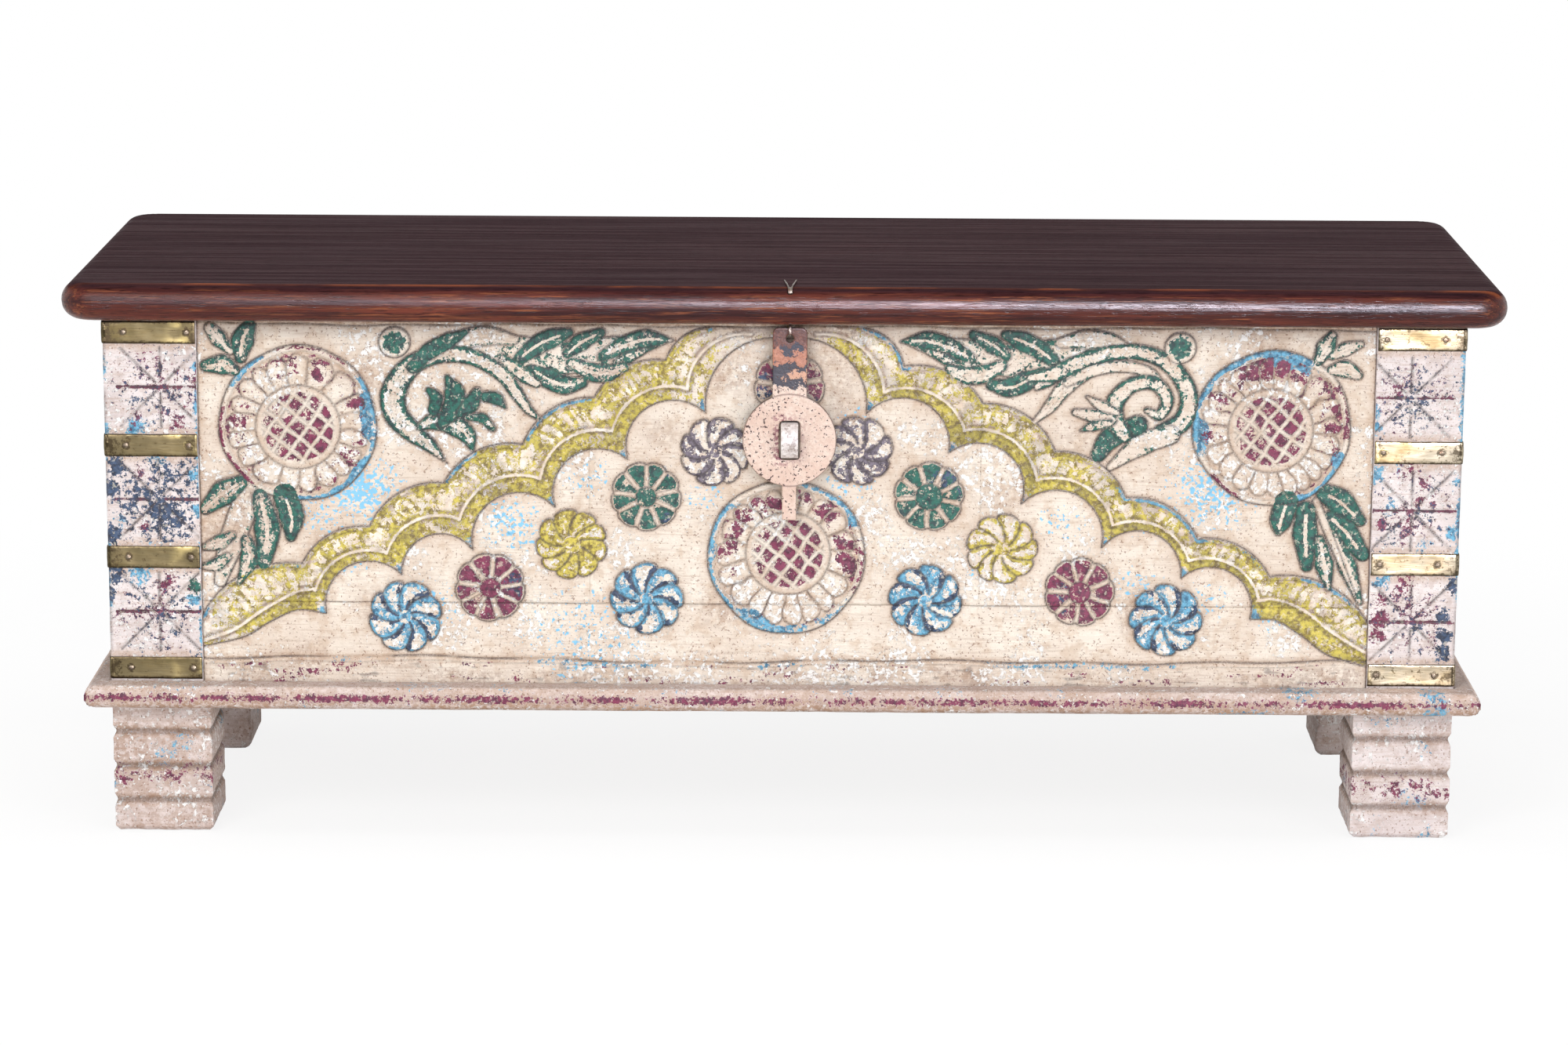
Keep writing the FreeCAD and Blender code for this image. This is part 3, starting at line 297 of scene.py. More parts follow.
def make_lid_wood():
    """Dark stained wood, nearly black along its grain and worn to orange at the start of the nose; its top's
    purplish grey is partly a painted sheen.
    """
    f = Finish("dark_lid", roughness=0.3)
    grain = f.noise(1.5, detail=6, rough=0.66, stretch=(0.02, 1, 1), seed=1)
    streak = f.noise(7, detail=4, rough=0.55, stretch=(0.03, 1, 1), seed=2)
    broad = f.noise(90, detail=3, stretch=(0.35, 1, 1), seed=3)
    pores = f.step(f.noise(0.9, detail=2, stretch=(0.06, 1, 1), seed=4), 0.7, 0.95)
    # The top's purplish grey is partly a painted sheen, since the top's own specular is set nearly to nothing
    # further down.
    top = f.mix(f.step(streak, 0, 1, 0.15, 0.85), rgb(66, 40, 43), rgb(45, 28, 32))
    nose = f.mix(streak, rgb(124, 60, 44), rgb(66, 28, 27))
    glow = f.step(f.noise(2.4, detail=5, rough=0.7, stretch=(0.04, 1, 1), seed=6), 0.6, 0.95)
    nose = f.mix(glow, nose, rgb(154, 88, 56))
    colour = f.mix(f.step(f.level, *NOSE_END), nose, top)
    colour = f.mix(broad * 0.5, colour, rgb(50, 30, 36))
    colour = f.mix(grain * 0.55, colour, rgb(28, 15, 17))
    colour = f.mix(pores * 0.6, colour, rgb(20, 10, 12))
    band = f.between(f.back * -1, 0.1828, 0.1846, 0.186, 0.1915)
    patches = f.step(f.noise(26, detail=4, rough=0.6, stretch=(0.3, 1, 1), seed=7), 0.3, 0.75, 0.15, 0.9)
    worn_line = band * f.step(f.level, 0.452, 0.456) * patches
    colour = f.mix(worn_line, colour, rgb(126, 68, 44))
    f.feed(f.shader.inputs["Specular IOR Level"], f.step(f.level, 0.4515, 0.4565, 0.17, 0.002))
    rough = f.step(streak, 0, 1, 0.17, 0.31) + f.step(f.level, *NOSE_END, 0, 0.16)
    uneven = streak * 0.8 + grain + pores * -0.8
    return f.finish(colour, rough, f.bump(uneven, 0.16, 0.6))


def make_brass(name, light, dark):
    """Sheet brass, dented and tarnished in patches, dark along its edges and bright where it is rubbed."""
    f = Finish(name, roughness=0.36, metallic=1.0)
    tarnish = f.noise(24, detail=4, rough=0.6, stretch=(0.6, 1, 1), seed=1)
    scratch = f.noise(1.4, detail=4, stretch=(0.12, 1, 1), seed=2)
    spots = f.step(f.noise(4, detail=5, rough=0.7, seed=3), 0.74, 0.95)
    ragged = f.noise(3, detail=5, rough=0.7, seed=5)
    grime, rubbed = f.painted("paint_b")["line"], f.painted("paint_c")["white"]
    colour = f.mix(tarnish, light, dark)
    colour = f.mix(spots * 0.8, colour, rgb(72, 60, 42))
    colour = f.mix(scratch * 0.22, colour, rgb(96, 78, 44))
    colour = f.mix(rubbed, colour, rgb(250, 226, 150))
    dirt = f.step(grime - ragged * 0.7, -0.1, 0.3)
    colour = f.mix(dirt * 0.85, colour, rgb(62, 52, 38))
    return f.finish(colour, f.step(tarnish, 0, 1, 0.28, 0.5), f.bump(scratch, 0.08, 0.4))


def make_iron(name, light, dark, rough_low, rough_high, metallic=0.85):
    """Forged iron, uneven and a little rusted."""
    f = Finish(name, metallic=metallic)
    forged = f.noise(3.5, detail=5, rough=0.65, seed=1)
    rust = f.step(f.noise(5, detail=5, rough=0.7, seed=2), 0.62, 0.95)
    colour = f.mix(forged, light, dark)
    colour = f.mix(rust * 0.6, colour, rgb(104, 66, 44))
    return f.finish(colour, f.step(forged, 0, 1, rough_low, rough_high), f.bump(forged, 0.35, 0.7))


# The middle of the hasp's plate, across and up, and its upper coats: start, end, light and dark.
HASP_MIDDLE = (0.005, 0.334)
HASP_COATS = [
    (0.3966, 0.3976, rgb(192, 132, 106), rgb(166, 108, 86)),
    (0.4098, 0.4108, rgb(128, 82, 68), rgb(92, 56, 50)),
]


def make_hasp_paint():
    """The hasp's coats of paint, one under another from its top to its tail, with painted shade round the
    plate's edge. Places are in metres.
    """
    f = Finish("hasp_paint", roughness=0.55, specular=0.2)
    ragged = f.noise(7, detail=5, rough=0.65, seed=1)
    flakes = f.noise(3.2, detail=5, rough=0.7, seed=2, spread=(0.37, 0.63))
    specks = f.noise(1.5, detail=3, seed=3)
    level = f.level + (ragged - 0.5) * 0.009
    colour = f.mix(flakes, rgb(226, 206, 192), rgb(212, 184, 168))
    colour = f.mix(f.step(f.noise(26, detail=3, seed=4), 0.35, 0.9, 0, 0.5), colour, rgb(208, 174, 156))
    colour = f.mix(f.step(specks, 0.5, 1.0, 0, 0.35), colour, rgb(196, 160, 140))
    colour = f.mix(f.step(level, 0.3775, 0.3787), colour, rgb(64, 62, 70))
    chip = f.between(level, 0.3835, 0.3845, 0.3895, 0.3905)
    chip = chip * f.step(f.across + ragged * 0.012, 0.009, 0.0105)
    colour = f.mix(chip, colour, rgb(206, 158, 132))
    for start, end, light, dark in HASP_COATS:
        colour = f.mix(f.step(level, start, end), colour, f.mix(flakes, light, dark))
    blob_across = (f.across - 0.0065) / 0.0105
    blob_up = (level - 0.4085) / 0.0042
    blob = blob_across * blob_across + blob_up * blob_up
    colour = f.mix(f.step(blob, 0.8, 1.15, 1, 0), colour, rgb(62, 62, 74))
    dots = f.noise(2.2, detail=3, seed=6) + f.step(f.across, -0.03, 0.03, 0.06, -0.04)
    colour = f.mix(f.step(dots, 0.86, 0.93), colour, rgb(78, 54, 48))
    across = f.math("ABSOLUTE", f.across - HASP_MIDDLE[0])
    along = f.math("ABSOLUTE", f.level - HASP_MIDDLE[1])
    round_slot = f.math("MAXIMUM", across - 0.0085, along - 0.0158)
    rubbed = f.step(round_slot, 0.0005, 0.008, 1, 0) * f.step(flakes, 0.45, 0.62)
    rubbed = rubbed * f.step(f.across, -0.002, 0.012, 1, 0.25)
    colour = f.mix(rubbed * 0.85, colour, rgb(128, 52, 78))
    # A dark brown ring round the plate's edge is painted shade.
    from_middle = across * across + along * along
    rim = f.between(from_middle, 0.0365**2, 0.0377**2, 0.0383**2, 0.0386**2)
    colour = f.mix(rim * 0.6, colour, rgb(112, 84, 76))
    face = f.step(f.back, -0.1803, -0.1796, 1, 0)
    colour = f.mix(face, rgb(60, 42, 38), colour)
    relief = ragged * 0.6 + specks * 0.3
    return f.finish(colour, f.step(flakes, 0, 1, 0.42, 0.62), f.bump(relief, 0.4, 0.7))


make_camera()
PAINTED = make_painted_wood("front_paint", rgb(236, 225, 211), rgb(222, 206, 190), rgb(204, 178, 154))
POST_PAINT = make_painted_wood("post_paint", rgb(236, 226, 224), rgb(219, 207, 205), rgb(196, 177, 170))
PLAIN = make_plain_wood()
LID_WOOD = make_lid_wood()
# One brass in two copies: the left straps' darker colour is painted shade and the right straps' paler colour
# is a painted highlight.
BRASS_PAINTED_SHADE = make_brass("brass_with_painted_shade", rgb(122, 110, 82), rgb(84, 75, 50))
BRASS_PAINTED_HIGHLIGHT = make_brass("brass_with_painted_highlight", rgb(182, 171, 148), rgb(118, 102, 72))
DARK_IRON = make_iron("dark_iron", rgb(92, 86, 86), rgb(48, 44, 46), 0.4, 0.7)
PIN_IRON = make_iron("pin_iron", rgb(126, 114, 104), rgb(64, 56, 50), 0.3, 0.5)
NAIL_METAL = make_iron("nail_metal", rgb(122, 110, 92), rgb(64, 54, 42), 0.42, 0.62)
STAPLE_PAINT = make_iron("staple_paint", rgb(240, 234, 232), rgb(186, 172, 166), 0.35, 0.6, metallic=0)
HASP_PAINT = make_hasp_paint()


# Pieces

def show(name, mesh, body, materials, smooth=True):
    """A piece in the scene that rides on a body."""
    piece = bpy.data.objects.new(name, mesh)
    bpy.context.scene.collection.objects.link(piece)
    mesh.materials.clear()
    for material in materials:
        mesh.materials.append(material)
    if smooth:
        mesh.polygons.foreach_set("use_smooth", [True] * len(mesh.polygons))
    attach(piece, body)
    return piece


def give_layers(mesh, layers):
    """The painted layers as colours on a mesh's points."""
    count = len(mesh.vertices)
    for group, names in LAYER_GROUPS.items():
        values = np.zeros((count, 4), np.float32)
        for place, name in enumerate(names):
            if name in layers:
                values[:, place] = np.clip(layers[name], 0, 1).ravel()
        attribute = mesh.attributes.new(group, "FLOAT_COLOR", "POINT")
        attribute.data.foreach_set("color", values.ravel())


def read_points(values, name):
    """One value of three numbers for each of a mesh's points."""
    numbers = np.zeros(len(values) * 3)
    values.foreach_get(name, numbers)
    return numbers.reshape(-1, 3)


def closed_mesh(name, points, faces):
    """A mesh from places in millimetres, with all its faces turned outward."""
    mesh = bpy.data.meshes.new(name)
    mesh.from_pydata((np.array(points) * MM).tolist(), [], faces)
    shell = bmesh.new()
    shell.from_mesh(mesh)
    bmesh.ops.recalc_face_normals(shell, faces=shell.faces)
    shell.to_mesh(mesh)
    shell.free()
    return mesh


def worn_mesh(node, voxel, rounds=0):
    """A copy of a CAD node's shape as an even fine mesh, with its edges softened in some rounds."""
    source = bmesh.new()
    source.from_mesh(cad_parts[node].data)
    bmesh.ops.remove_doubles(source, verts=source.verts, dist=0.00001)
    rough = bpy.data.meshes.new(f"{node}_rough")
    source.to_mesh(rough)
    source.free()
    holder = bpy.data.objects.new(f"{node}_rough", rough)
    bpy.context.scene.collection.objects.link(holder)
    remesh = holder.modifiers.new("even", "REMESH")
    remesh.mode = "VOXEL"
    remesh.voxel_size = voxel * MM
    graph = bpy.context.evaluated_depsgraph_get()
    mesh = bpy.data.meshes.new_from_object(holder.evaluated_get(graph))
    bpy.data.objects.remove(holder)
    soft = bmesh.new()
    soft.from_mesh(mesh)
    for _ in range(rounds):
        every_axis = {f"use_axis_{axis}": True for axis in "xyz"}
        bmesh.ops.smooth_vert(soft, verts=soft.verts, factor=0.5, **every_axis)
    soft.to_mesh(mesh)
    soft.free()
    return mesh


def worn(node, name, voxel, body, material, depth=0.5, layers=None, rounds=0):
    """A CAD node's shape, softened and a little uneven, with painted layers found from its points."""
    mesh = worn_mesh(node, voxel, rounds)
    points = read_points(mesh.vertices, "co") / MM
    normals = read_points(mesh.vertex_normals, "vector")
    low, high = (np.array(corner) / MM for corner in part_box(node))
    across, up = points[:, 0] + 0.7 * points[:, 1], points[:, 2] + 0.3 * points[:, 1]
    sink = depth * (cloud(across, up, 14, 3) * 0.7 + cloud(across, up, 4, 4) * 0.3)
    painted = {}
    if layers is not None:
        painted, cut = layers(points, normals)
        sink = sink + cut
    points = np.clip(points - normals * sink[:, None], low, high)
    mesh.vertices.foreach_set("co", (points * MM).ravel())
    mesh.update()
    give_layers(mesh, painted)
    piece = show(name, mesh, body, [material])
    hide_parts(node)
    return piece


# Carved front

class Relief:
    """Heights and painted layers of the front, on a grid of one millimetre."""

    def __init__(self):
        self.seam_row = FRONT_SEAM - FRONT_LOW
        self.across = np.linspace(FRONT_LEFT, FRONT_RIGHT, FRONT_RIGHT - FRONT_LEFT + 1)
        under = np.linspace(FRONT_LOW, FRONT_SEAM, self.seam_row + 1)
        over = np.linspace(FRONT_SEAM, FRONT_HIGH, round(FRONT_HIGH - FRONT_SEAM) + 1)
        self.up = np.concatenate([under, over[1:]])
        self.x, self.z = np.meshgrid(self.across, self.up)
        self.height = np.zeros_like(self.x)
        self.outside = np.full_like(self.x, FAR_AWAY)
        self.layers = {name: np.zeros_like(self.x) for name in LAYERS}

    def around(self, left, right, low, high):
        """The part of the grid inside a rectangle."""
        columns = np.searchsorted(self.across, (left, right))
        rows = np.searchsorted(self.up, (low, high))
        return slice(rows[0], rows[1]), slice(columns[0], columns[1])

    def lift(self, part, inside, top, shoulder):
        """Raises a motif with round shoulders, and keeps how far its outline is."""
        share = np.clip(inside / shoulder, 0, 1)
        height = top * np.sqrt(1 - (1 - share) ** 2)
        self.height[part] = np.where(inside > 0, np.maximum(self.height[part], height), self.height[part])
        self.outside[part] = np.minimum(self.outside[part], -inside)

    def sink(self, part, depth):
        """Cuts into what is there."""
        self.height[part] -= depth

    def brush(self, part):
        """A short way to add to the painted layers of one part."""
        def cover(name, share):
            self.layers[name][part] = np.maximum(self.layers[name][part], share)
        return cover


def smooth_line(points, count):
    """A smooth line through points, evenly divided."""
    points = np.array(points, float)
    ends = np.vstack([2 * points[0] - points[1], points, 2 * points[-1] - points[-2]])
    share = np.linspace(0, len(points) - 1, count)
    at = np.minimum(share.astype(int), len(points) - 2)
    t = (share - at)[:, None]
    a, b, c, d = ends[at], ends[at + 1], ends[at + 2], ends[at + 3]
    return 0.5 * (2 * b + (c - a) * t + (2 * a - 5 * b + 4 * c - d) * t**2 + (3 * b - a - 3 * c + d) * t**3)


def arc(start, end, rise, outward=1):
    """Points of an arc that rises by a share of its chord, to the left of its way where outward is 1."""
    start, end = np.array(start, float), np.array(end, float)
    chord = end - start
    square = np.array([-chord[1], chord[0]]) * outward
    half = 2 * math.atan(2 * rise)
    turn = np.linspace(-half, half, 13)[:, None]
    radius = 0.5 / math.sin(half)
    along, up = radius * np.sin(turn), radius * (np.cos(turn) - math.cos(half))
    return (start + end) / 2 + chord * along + square * up


def scallops(points, rise, outward):
    """Arcs from each point to the next, as one line."""
    return np.vstack([arc(start, end, rise, outward) for start, end in zip(points, points[1:])])


def away_from(x, z, line):
    """Distance to a line, and how far along it the nearest place is."""
    best = np.full_like(x, 1e9)
    where = np.zeros_like(x)
    run = 0.0
    for start, end in zip(line, line[1:]):
        step = end - start
        length = math.hypot(*step)
        if length < 1e-6:
            continue
        share = np.clip(((x - start[0]) * step[0] + (z - start[1]) * step[1]) / length**2, 0, 1)
        away = np.hypot(x - start[0] - share * step[0], z - start[1] - share * step[1])
        nearer = away < best
        best = np.where(nearer, away, best)
        where = np.where(nearer, run + share * length, where)
        run += length
    return best, where


def within(x, z, outline):
    """Whether places lie inside a closed outline."""
    inside = np.zeros(x.shape, bool)
    for start, end in zip(outline, np.roll(outline, -1, axis=0)):
        crossing = (start[1] > z) != (end[1] > z)
        rise = end[1] - start[1]
        if abs(rise) > 1e-9:
            inside ^= crossing & (x < (end[0] - start[0]) * (z - start[1]) / rise + start[0])
    return inside


OUTER_CUSPS = {
    -1: [(-60, 424), (-95, 397), (-153, 366), (-211, 327), (-275, 295), (-336, 258), (-391, 227),
         (-474, 182)],
    1: [(66, 424), (97, 393), (161, 363), (220, 324), (278, 286), (337, 252), (396, 221), (478, 181)],
}
INNER_CUSPS = {
    -1: [(2, 415), (-63, 354), (-126, 315), (-185, 275), (-252, 239), (-310, 218), (-372, 185)],
    1: [(2, 415), (67, 354), (134, 322), (193, 280), (259, 244), (324, 219), (381, 185)],
}
BAND_FEET = {
    -1: [(-372, 185), (-395, 188), (-418, 178), (-440, 165), (-474, 157)],
    1: [(381, 185), (402, 184), (424, 171), (446, 155), (478, 146)],
}
RIB_FEET = {
    -1: [(-382, 206), (-397, 203), (-424, 188), (-447, 172), (-476, 161)],
    1: [(386, 201), (402, 202), (425, 193), (448, 175), (479, 156)],
}
ARCH_TOP, ARCH_LOW, ARCH_HIGH = (MIRROR_LINE, 426), 140, 427
RIM_WIDTH = 3.4
CHIP_PITCH = 10.5
RIB_PLACE = 0.54


def arch_lines(side):
    """The lines of half the arch: its outer edge, its lower edge and its rib."""
    outer = scallops(OUTER_CUSPS[side], 0.16, side)
    crown, inner_points = INNER_CUSPS[side][:2], INNER_CUSPS[side][1:]
    inner = np.vstack([scallops(crown, 0.25, side), scallops(inner_points, 0.38, side)])
    foot = smooth_line(BAND_FEET[side], 24)
    outer_points, low_points = np.array(OUTER_CUSPS[side][1:7]), np.array(INNER_CUSPS[side][1:7])
    middles = outer_points * (1 - RIB_PLACE) + low_points * RIB_PLACE
    rib_points = np.vstack([[(26 * side, 419)], middles])
    rib = np.vstack([scallops(rib_points, 0.22, side), smooth_line(RIB_FEET[side], 24)])
    return outer, np.vstack([inner, foot]), rib


def arch_distances(x, z, side):
    """What lies in half the arch and in its channel, how far the three lines are, and the way along."""
    outer, lower, rib = arch_lines(side)
    body, channel = (within(x, z, np.vstack([[ARCH_TOP], outer, line[::-1]])) for line in (lower, rib))
    to_outer, along = away_from(x, z, outer)
    return body, channel, to_outer, away_from(x, z, lower)[0], away_from(x, z, rib)[0], along


def carve_arch(relief, side):
    """One half of the scalloped arch: rim, channel with chips, rib and plain inner band."""
    reach = (MIRROR_LINE, FRONT_RIGHT + 1) if side > 0 else (FRONT_LEFT - 1, MIRROR_LINE)
    part = relief.around(*reach, ARCH_LOW, ARCH_HIGH)
    cover = relief.brush(part)
    x, z = relief.x[part], relief.z[part]
    body, channel, to_outer, to_lower, to_rib, along = arch_distances(x, z, side)
    inside = np.where(body, np.minimum(to_outer, to_lower), -np.minimum(to_outer, to_lower))
    relief.lift(part, inside, CARVING_TOP, 2.2)
    solid = ease(inside, 0, 1.2)
    depth = np.clip((to_outer - RIM_WIDTH) / np.maximum(to_outer - RIM_WIDTH + to_rib, 0.1), 0, 1)
    phase = ((along + cloud(x, z, 13, 21) * 9) / CHIP_PITCH + 0.5 * depth) % 1
    chip = ease(1 - np.abs(phase - 0.5) * 2, 0.12, 0.5)
    chip = chip * ease(depth, 0.06, 0.24) * ease(1 - depth, 0.06, 0.24)
    chip = chip * channel * ease(cloud(x, z, 8, 22), 0.15, 0.5)
    groove = channel * ease(to_outer, RIM_WIDTH - 0.8, RIM_WIDTH + 0.8) * ease(to_rib, 0.4, 1.8)
    relief.sink(part, 1.0 * groove - 0.8 * chip)
    relief.sink(part, 0.5 * solid * (1 - channel) * ease(to_rib, 0.8, 3.5) * ease(to_lower, 1.0, 3))
    relief.height[part] += 0.5 * ridge(to_rib, 1.3) * solid

    darker = 0.14 if side > 0 else 0
    fine = cloud(x, z, 6, 25)
    cover("olive", solid * olive_share(x, z, channel, fine, darker))
    bare = channel * ease(to_outer, RIM_WIDTH, RIM_WIDTH + 2) * ease(fine, 0.66, 0.82)
    cover("cream", np.maximum(np.maximum(chip, bare) * 0.46, 0.85 * ridge(to_rib, 1.2) * solid))
    grooves = ridge(to_rib - 2.4, 1.3) * 0.75 + ridge(to_outer - 5, 1.4) * channel * 0.6
    cover("brown", solid * grooves)
    below_rib = ridge(to_rib - 1.9, 0.7) * (1 - 0.6 * channel)
    cover("line", solid * (0.62 * below_rib + 0.5 * ridge(to_outer - RIM_WIDTH - 0.3, 0.7)))
    cuts = ridge(phase - 0.08, 0.07) * ease(depth, 0.1, 0.3) * ease(cloud(x, z, 9, 26), 0.3, 0.6)
    cover("line", 0.4 * channel * cuts)
    shadow = np.maximum(np.maximum(ridge(to_outer, 3), ridge(to_lower, 3)), ridge(to_rib - 3, 1.8))
    shadow = 0.5 * shadow * ease(cloud(x, z, 7, 27), 0.15, 0.65)
    stains = (0.38 + darker) * (1 - 0.4 * channel) * ease(cloud(x, z, 10, 28), 0.35, 0.8)
    cover("line", solid * np.maximum(shadow, stains) * ease(np.abs(x), 20, 90))
    rim = ridge(to_outer - RIM_WIDTH / 2, RIM_WIDTH * 0.62) * body
    paint_cusps(relief, part, side, solid, rim * 0.8 * ease(cloud(x, z, 45, 24), 0.45, 0.65))


def olive_share(x, z, channel, fine, darker):
    """How much olive is left on the arch: less at the crown and at the feet."""
    patch = cloud(x, z, 26, 23)
    faded = 0.42 * ease(110 - np.abs(x - MIRROR_LINE), 0, 70) + 0.2 * ease(np.abs(x), 400, 470)
    plain = 0.56 + darker + 0.4 * patch + 0.3 * (fine - 0.5)
    chipped = 0.46 + 0.42 * patch + 0.5 * (fine - 0.5)
    return np.clip(np.where(channel, chipped, plain) - faded, 0, 0.97)


def paint_cusps(relief, part, side, solid, blue_rim):
    """Blue on the arch's lower cusps and along its rim."""
    x, z = relief.x[part], relief.z[part]
    tips = np.zeros_like(x)
    for across, level in INNER_CUSPS[side][1:]:
        tips = np.maximum(tips, ridge(np.hypot(x - across, z - level - 3), 8))
    relief.brush(part)("blue", solid * np.maximum(tips * 0.9, blue_rim))
    relief.layers["olive"][part] *= 1 - 0.8 * ease(tips, 0.3, 0.7) * solid


def carve_stroke(relief, points, widths, rim, core, vein):
    """A leaf or stem along a smooth line. Its green differs from rim to core, and it may have a vein."""
    line = smooth_line(points, 64)
    half = np.interp(np.linspace(0, 1, len(line)), np.linspace(0, 1, len(widths)), widths)
    spare = max(widths) + 4
    low, high = line.min(0) - spare, line.max(0) + spare
    part = relief.around(low[0], high[0], low[1], high[1])
    cover = relief.brush(part)
    x, z = relief.x[part], relief.z[part]
    away = np.hypot(x[..., None] - line[:, 0], z[..., None] - line[:, 1])
    near = (half - away).argmax(-1)
    inside = np.take_along_axis(half - away, near[..., None], -1)[..., 0]
    from_middle = half[near] - inside
    over = (relief.outside[part] < -1.5) & (inside > -1.5)
    relief.lift(part, inside, CARVING_TOP, 2.0)
    relief.height[part] -= 0.9 * ridge(inside, 1.1) * over
    solid = ease(inside, -0.3, 0.8)
    share = inside / np.maximum(half[near], 1)
    relief.layers["line"][part] *= 1 - ease(inside, 0.4, 1.6)
    cover("line", 0.8 * ridge(inside, 0.8) * over)
    patch = cloud(x, z, 8, 31) * 0.5 + cloud(x, z, 3.5, 32) * 0.3
    strength = core + (rim - core) * (1 - ease(share, 0.12, 0.58))
    strength = solid * np.clip(strength + 0.45 * (patch - 0.4), 0, 1)
    green = relief.layers["teal"]
    green[part] = np.where(inside > 0.4, strength, np.maximum(green[part], strength))
    if vein:
        along = near / len(line)
        way = ridge(from_middle, vein) * ease(along, 0.02, 0.1) * ease(1 - along, 0.1, 0.2)
        relief.sink(part, 0.5 * way * solid)
        green[part] *= 1 - 0.85 * ease(way, 0.2, 0.6)
        cover("line", 0.25 * ridge(from_middle - vein * 1.5, 0.5) * solid)


def carve_rosette(relief, centre, radius, petals, swirl, turn, paint, boss, full, shade_paint):
    """A rosette of painted wedges between bare ribs, or of swirling round petals."""
    spare = radius + 6
    part = relief.around(centre[0] - spare, centre[0] + spare, centre[1] - spare, centre[1] + spare)
    cover = relief.brush(part)
    x, z = relief.x[part] - centre[0], relief.z[part] - centre[1]

    def chance(size, seed):
        return cloud(x + centre[0], z + centre[1], size, seed)

    far = np.hypot(x, z)
    angle = np.arctan2(z, x) - math.radians(turn) - swirl * (far / radius) ** 0.8
    angle = angle + 0.05 * np.sin(2 * angle + turn) + 0.12 * (chance(16, 43) - 0.5)
    wave = (angle * petals / TAU) % 1
    off = np.abs(wave - 0.5) * 2
    inside = radius * (1 - (0.12 if swirl else 0.08) * off**3) - far
    gap = (1 - off) * math.pi * far / petals
    relief.outside[part] = np.where(inside > 0, FAR_AWAY, relief.outside[part])
    relief.lift(part, inside, CARVING_TOP, 2.4)
    solid = ease(inside, -0.3, 0.9)
    beyond = ease(far, boss - 0.5, boss + 1)
    patch, fine = chance(9, 41), chance(4, 42)
    if swirl:
        body = solid * beyond
        carve_swirl_petals(relief, part, body, wave, off, gap, inside, patch, paint, full, shade_paint)
        cover(paint, ease(boss - far, -0.5, 0.8) * (0.5 + 0.5 * fine))
    else:
        wedge = ease(gap, 1.5, 2.4) * beyond * ease(inside, 0.9, 2.0)
        relief.sink(part, 1.1 * wedge - 0.5 * wedge * (1 - off))
        worn_share = full - 0.42 * ease(patch, 0.5, 0.95) - 0.2 * ease(fine, 0.6, 0.95)
        cover(paint, wedge * worn_share)
        cover("navy", wedge * 0.55 * ease(chance(19, 44), 0.6, 0.85))
        cover("line", 0.75 * beyond * solid * ridge(gap - 1.7, 0.6))
        cover("halo", solid * 0.5)
        cover(paint, ease(boss - far, -0.6, 0.6) * (full - 0.25 * fine))
        relief.height[part] += 0.5 * ease(boss - far, 0, 2)
        cover("line", 0.8 * ridge(far - boss, 0.8))


def carve_swirl_petals(relief, part, solid, wave, off, gap, inside, patch, paint, full, shade_paint):
    """Round petals, bare in the middle, with paint towards one side and shade in the grooves."""
    cover = relief.brush(part)
    hump = np.sqrt(np.clip(1 - off**2, 0, 1))
    relief.height[part] += solid * (1.1 * hump - 0.85)
    outline = np.maximum(1 - ease(gap, 0.6, 4.2), 1 - ease(inside, 0.8, 3.6))
    lean = ease(wave, 0.25, 0.95)
    strength = 0.18 + 0.5 * outline + 0.34 * lean + 0.6 * (patch - 0.5) + (full - 0.85)
    cover(paint, solid * np.clip(strength, 0, 0.98))
    shade = solid * ease(0.4 - wave, 0, 0.25) * ease(patch, 0.22, 0.55)
    cover(shade_paint, 0.92 * shade)
    cover("line", 0.95 * solid * ridge(gap, 1.0))
    cover("white", solid * (1 - outline) * 0.8)


SUNFLOWER_RADIUS, PETAL_REACH, DISC_RADIUS = 64, 57, 33
RIB_PITCH = 12.2
SPARE = 6


def carve_medallion(relief, centre, disc, petals, rim_paint, plum, seed):
    """A sunflower: round rim, tongue petals and a latticed disc."""
    spare = SUNFLOWER_RADIUS + SPARE
    part = relief.around(centre[0] - spare, centre[0] + spare, centre[1] - spare, centre[1] + spare)
    cover = relief.brush(part)
    x, z = relief.x[part], relief.z[part]
    dx, dz = x - centre[0], z - centre[1]
    angle = np.arctan2(dz, dx)
    far = np.hypot(dx, dz) + 0.7 * np.sin(3 * angle + seed) + 0.5 * np.sin(7 * angle)
    inside = SUNFLOWER_RADIUS - far
    relief.outside[part] = np.where(inside > 0, FAR_AWAY, relief.outside[part])
    relief.lift(part, inside, CARVING_TOP, 3.2)
    patch = cloud(x, z, 10, 51 + seed)
    carve_tongues(relief, part, centre, disc, petals, far, inside, plum, patch, seed)
    ring = ease(inside, 0.4, 1.4) * ease(5.4 - inside, 0, 1.2)
    spill = 5.2 + 12 * ease(cloud(x, z, 20, 56 + seed), 0.52, 0.95)
    for name, low, high, share in rim_paint:
        middle, half = math.radians((low + high) / 2), math.radians((high - low) / 2)
        where = ease(np.cos(angle - middle), math.cos(half), 1.0)
        reach = ease(spill - inside, 0, 3) * ease(inside, -0.4, 0.8)
        cover(name, share * reach * np.clip(where * 3, 0, 1) * (0.6 + 0.6 * patch))
    cover("line", 0.8 * ring * ridge(inside - 5.2, 0.9))
    cover("halo", 0.8 * ridge(inside - 7, 2.2))
    carve_lattice(relief, part, disc, patch)


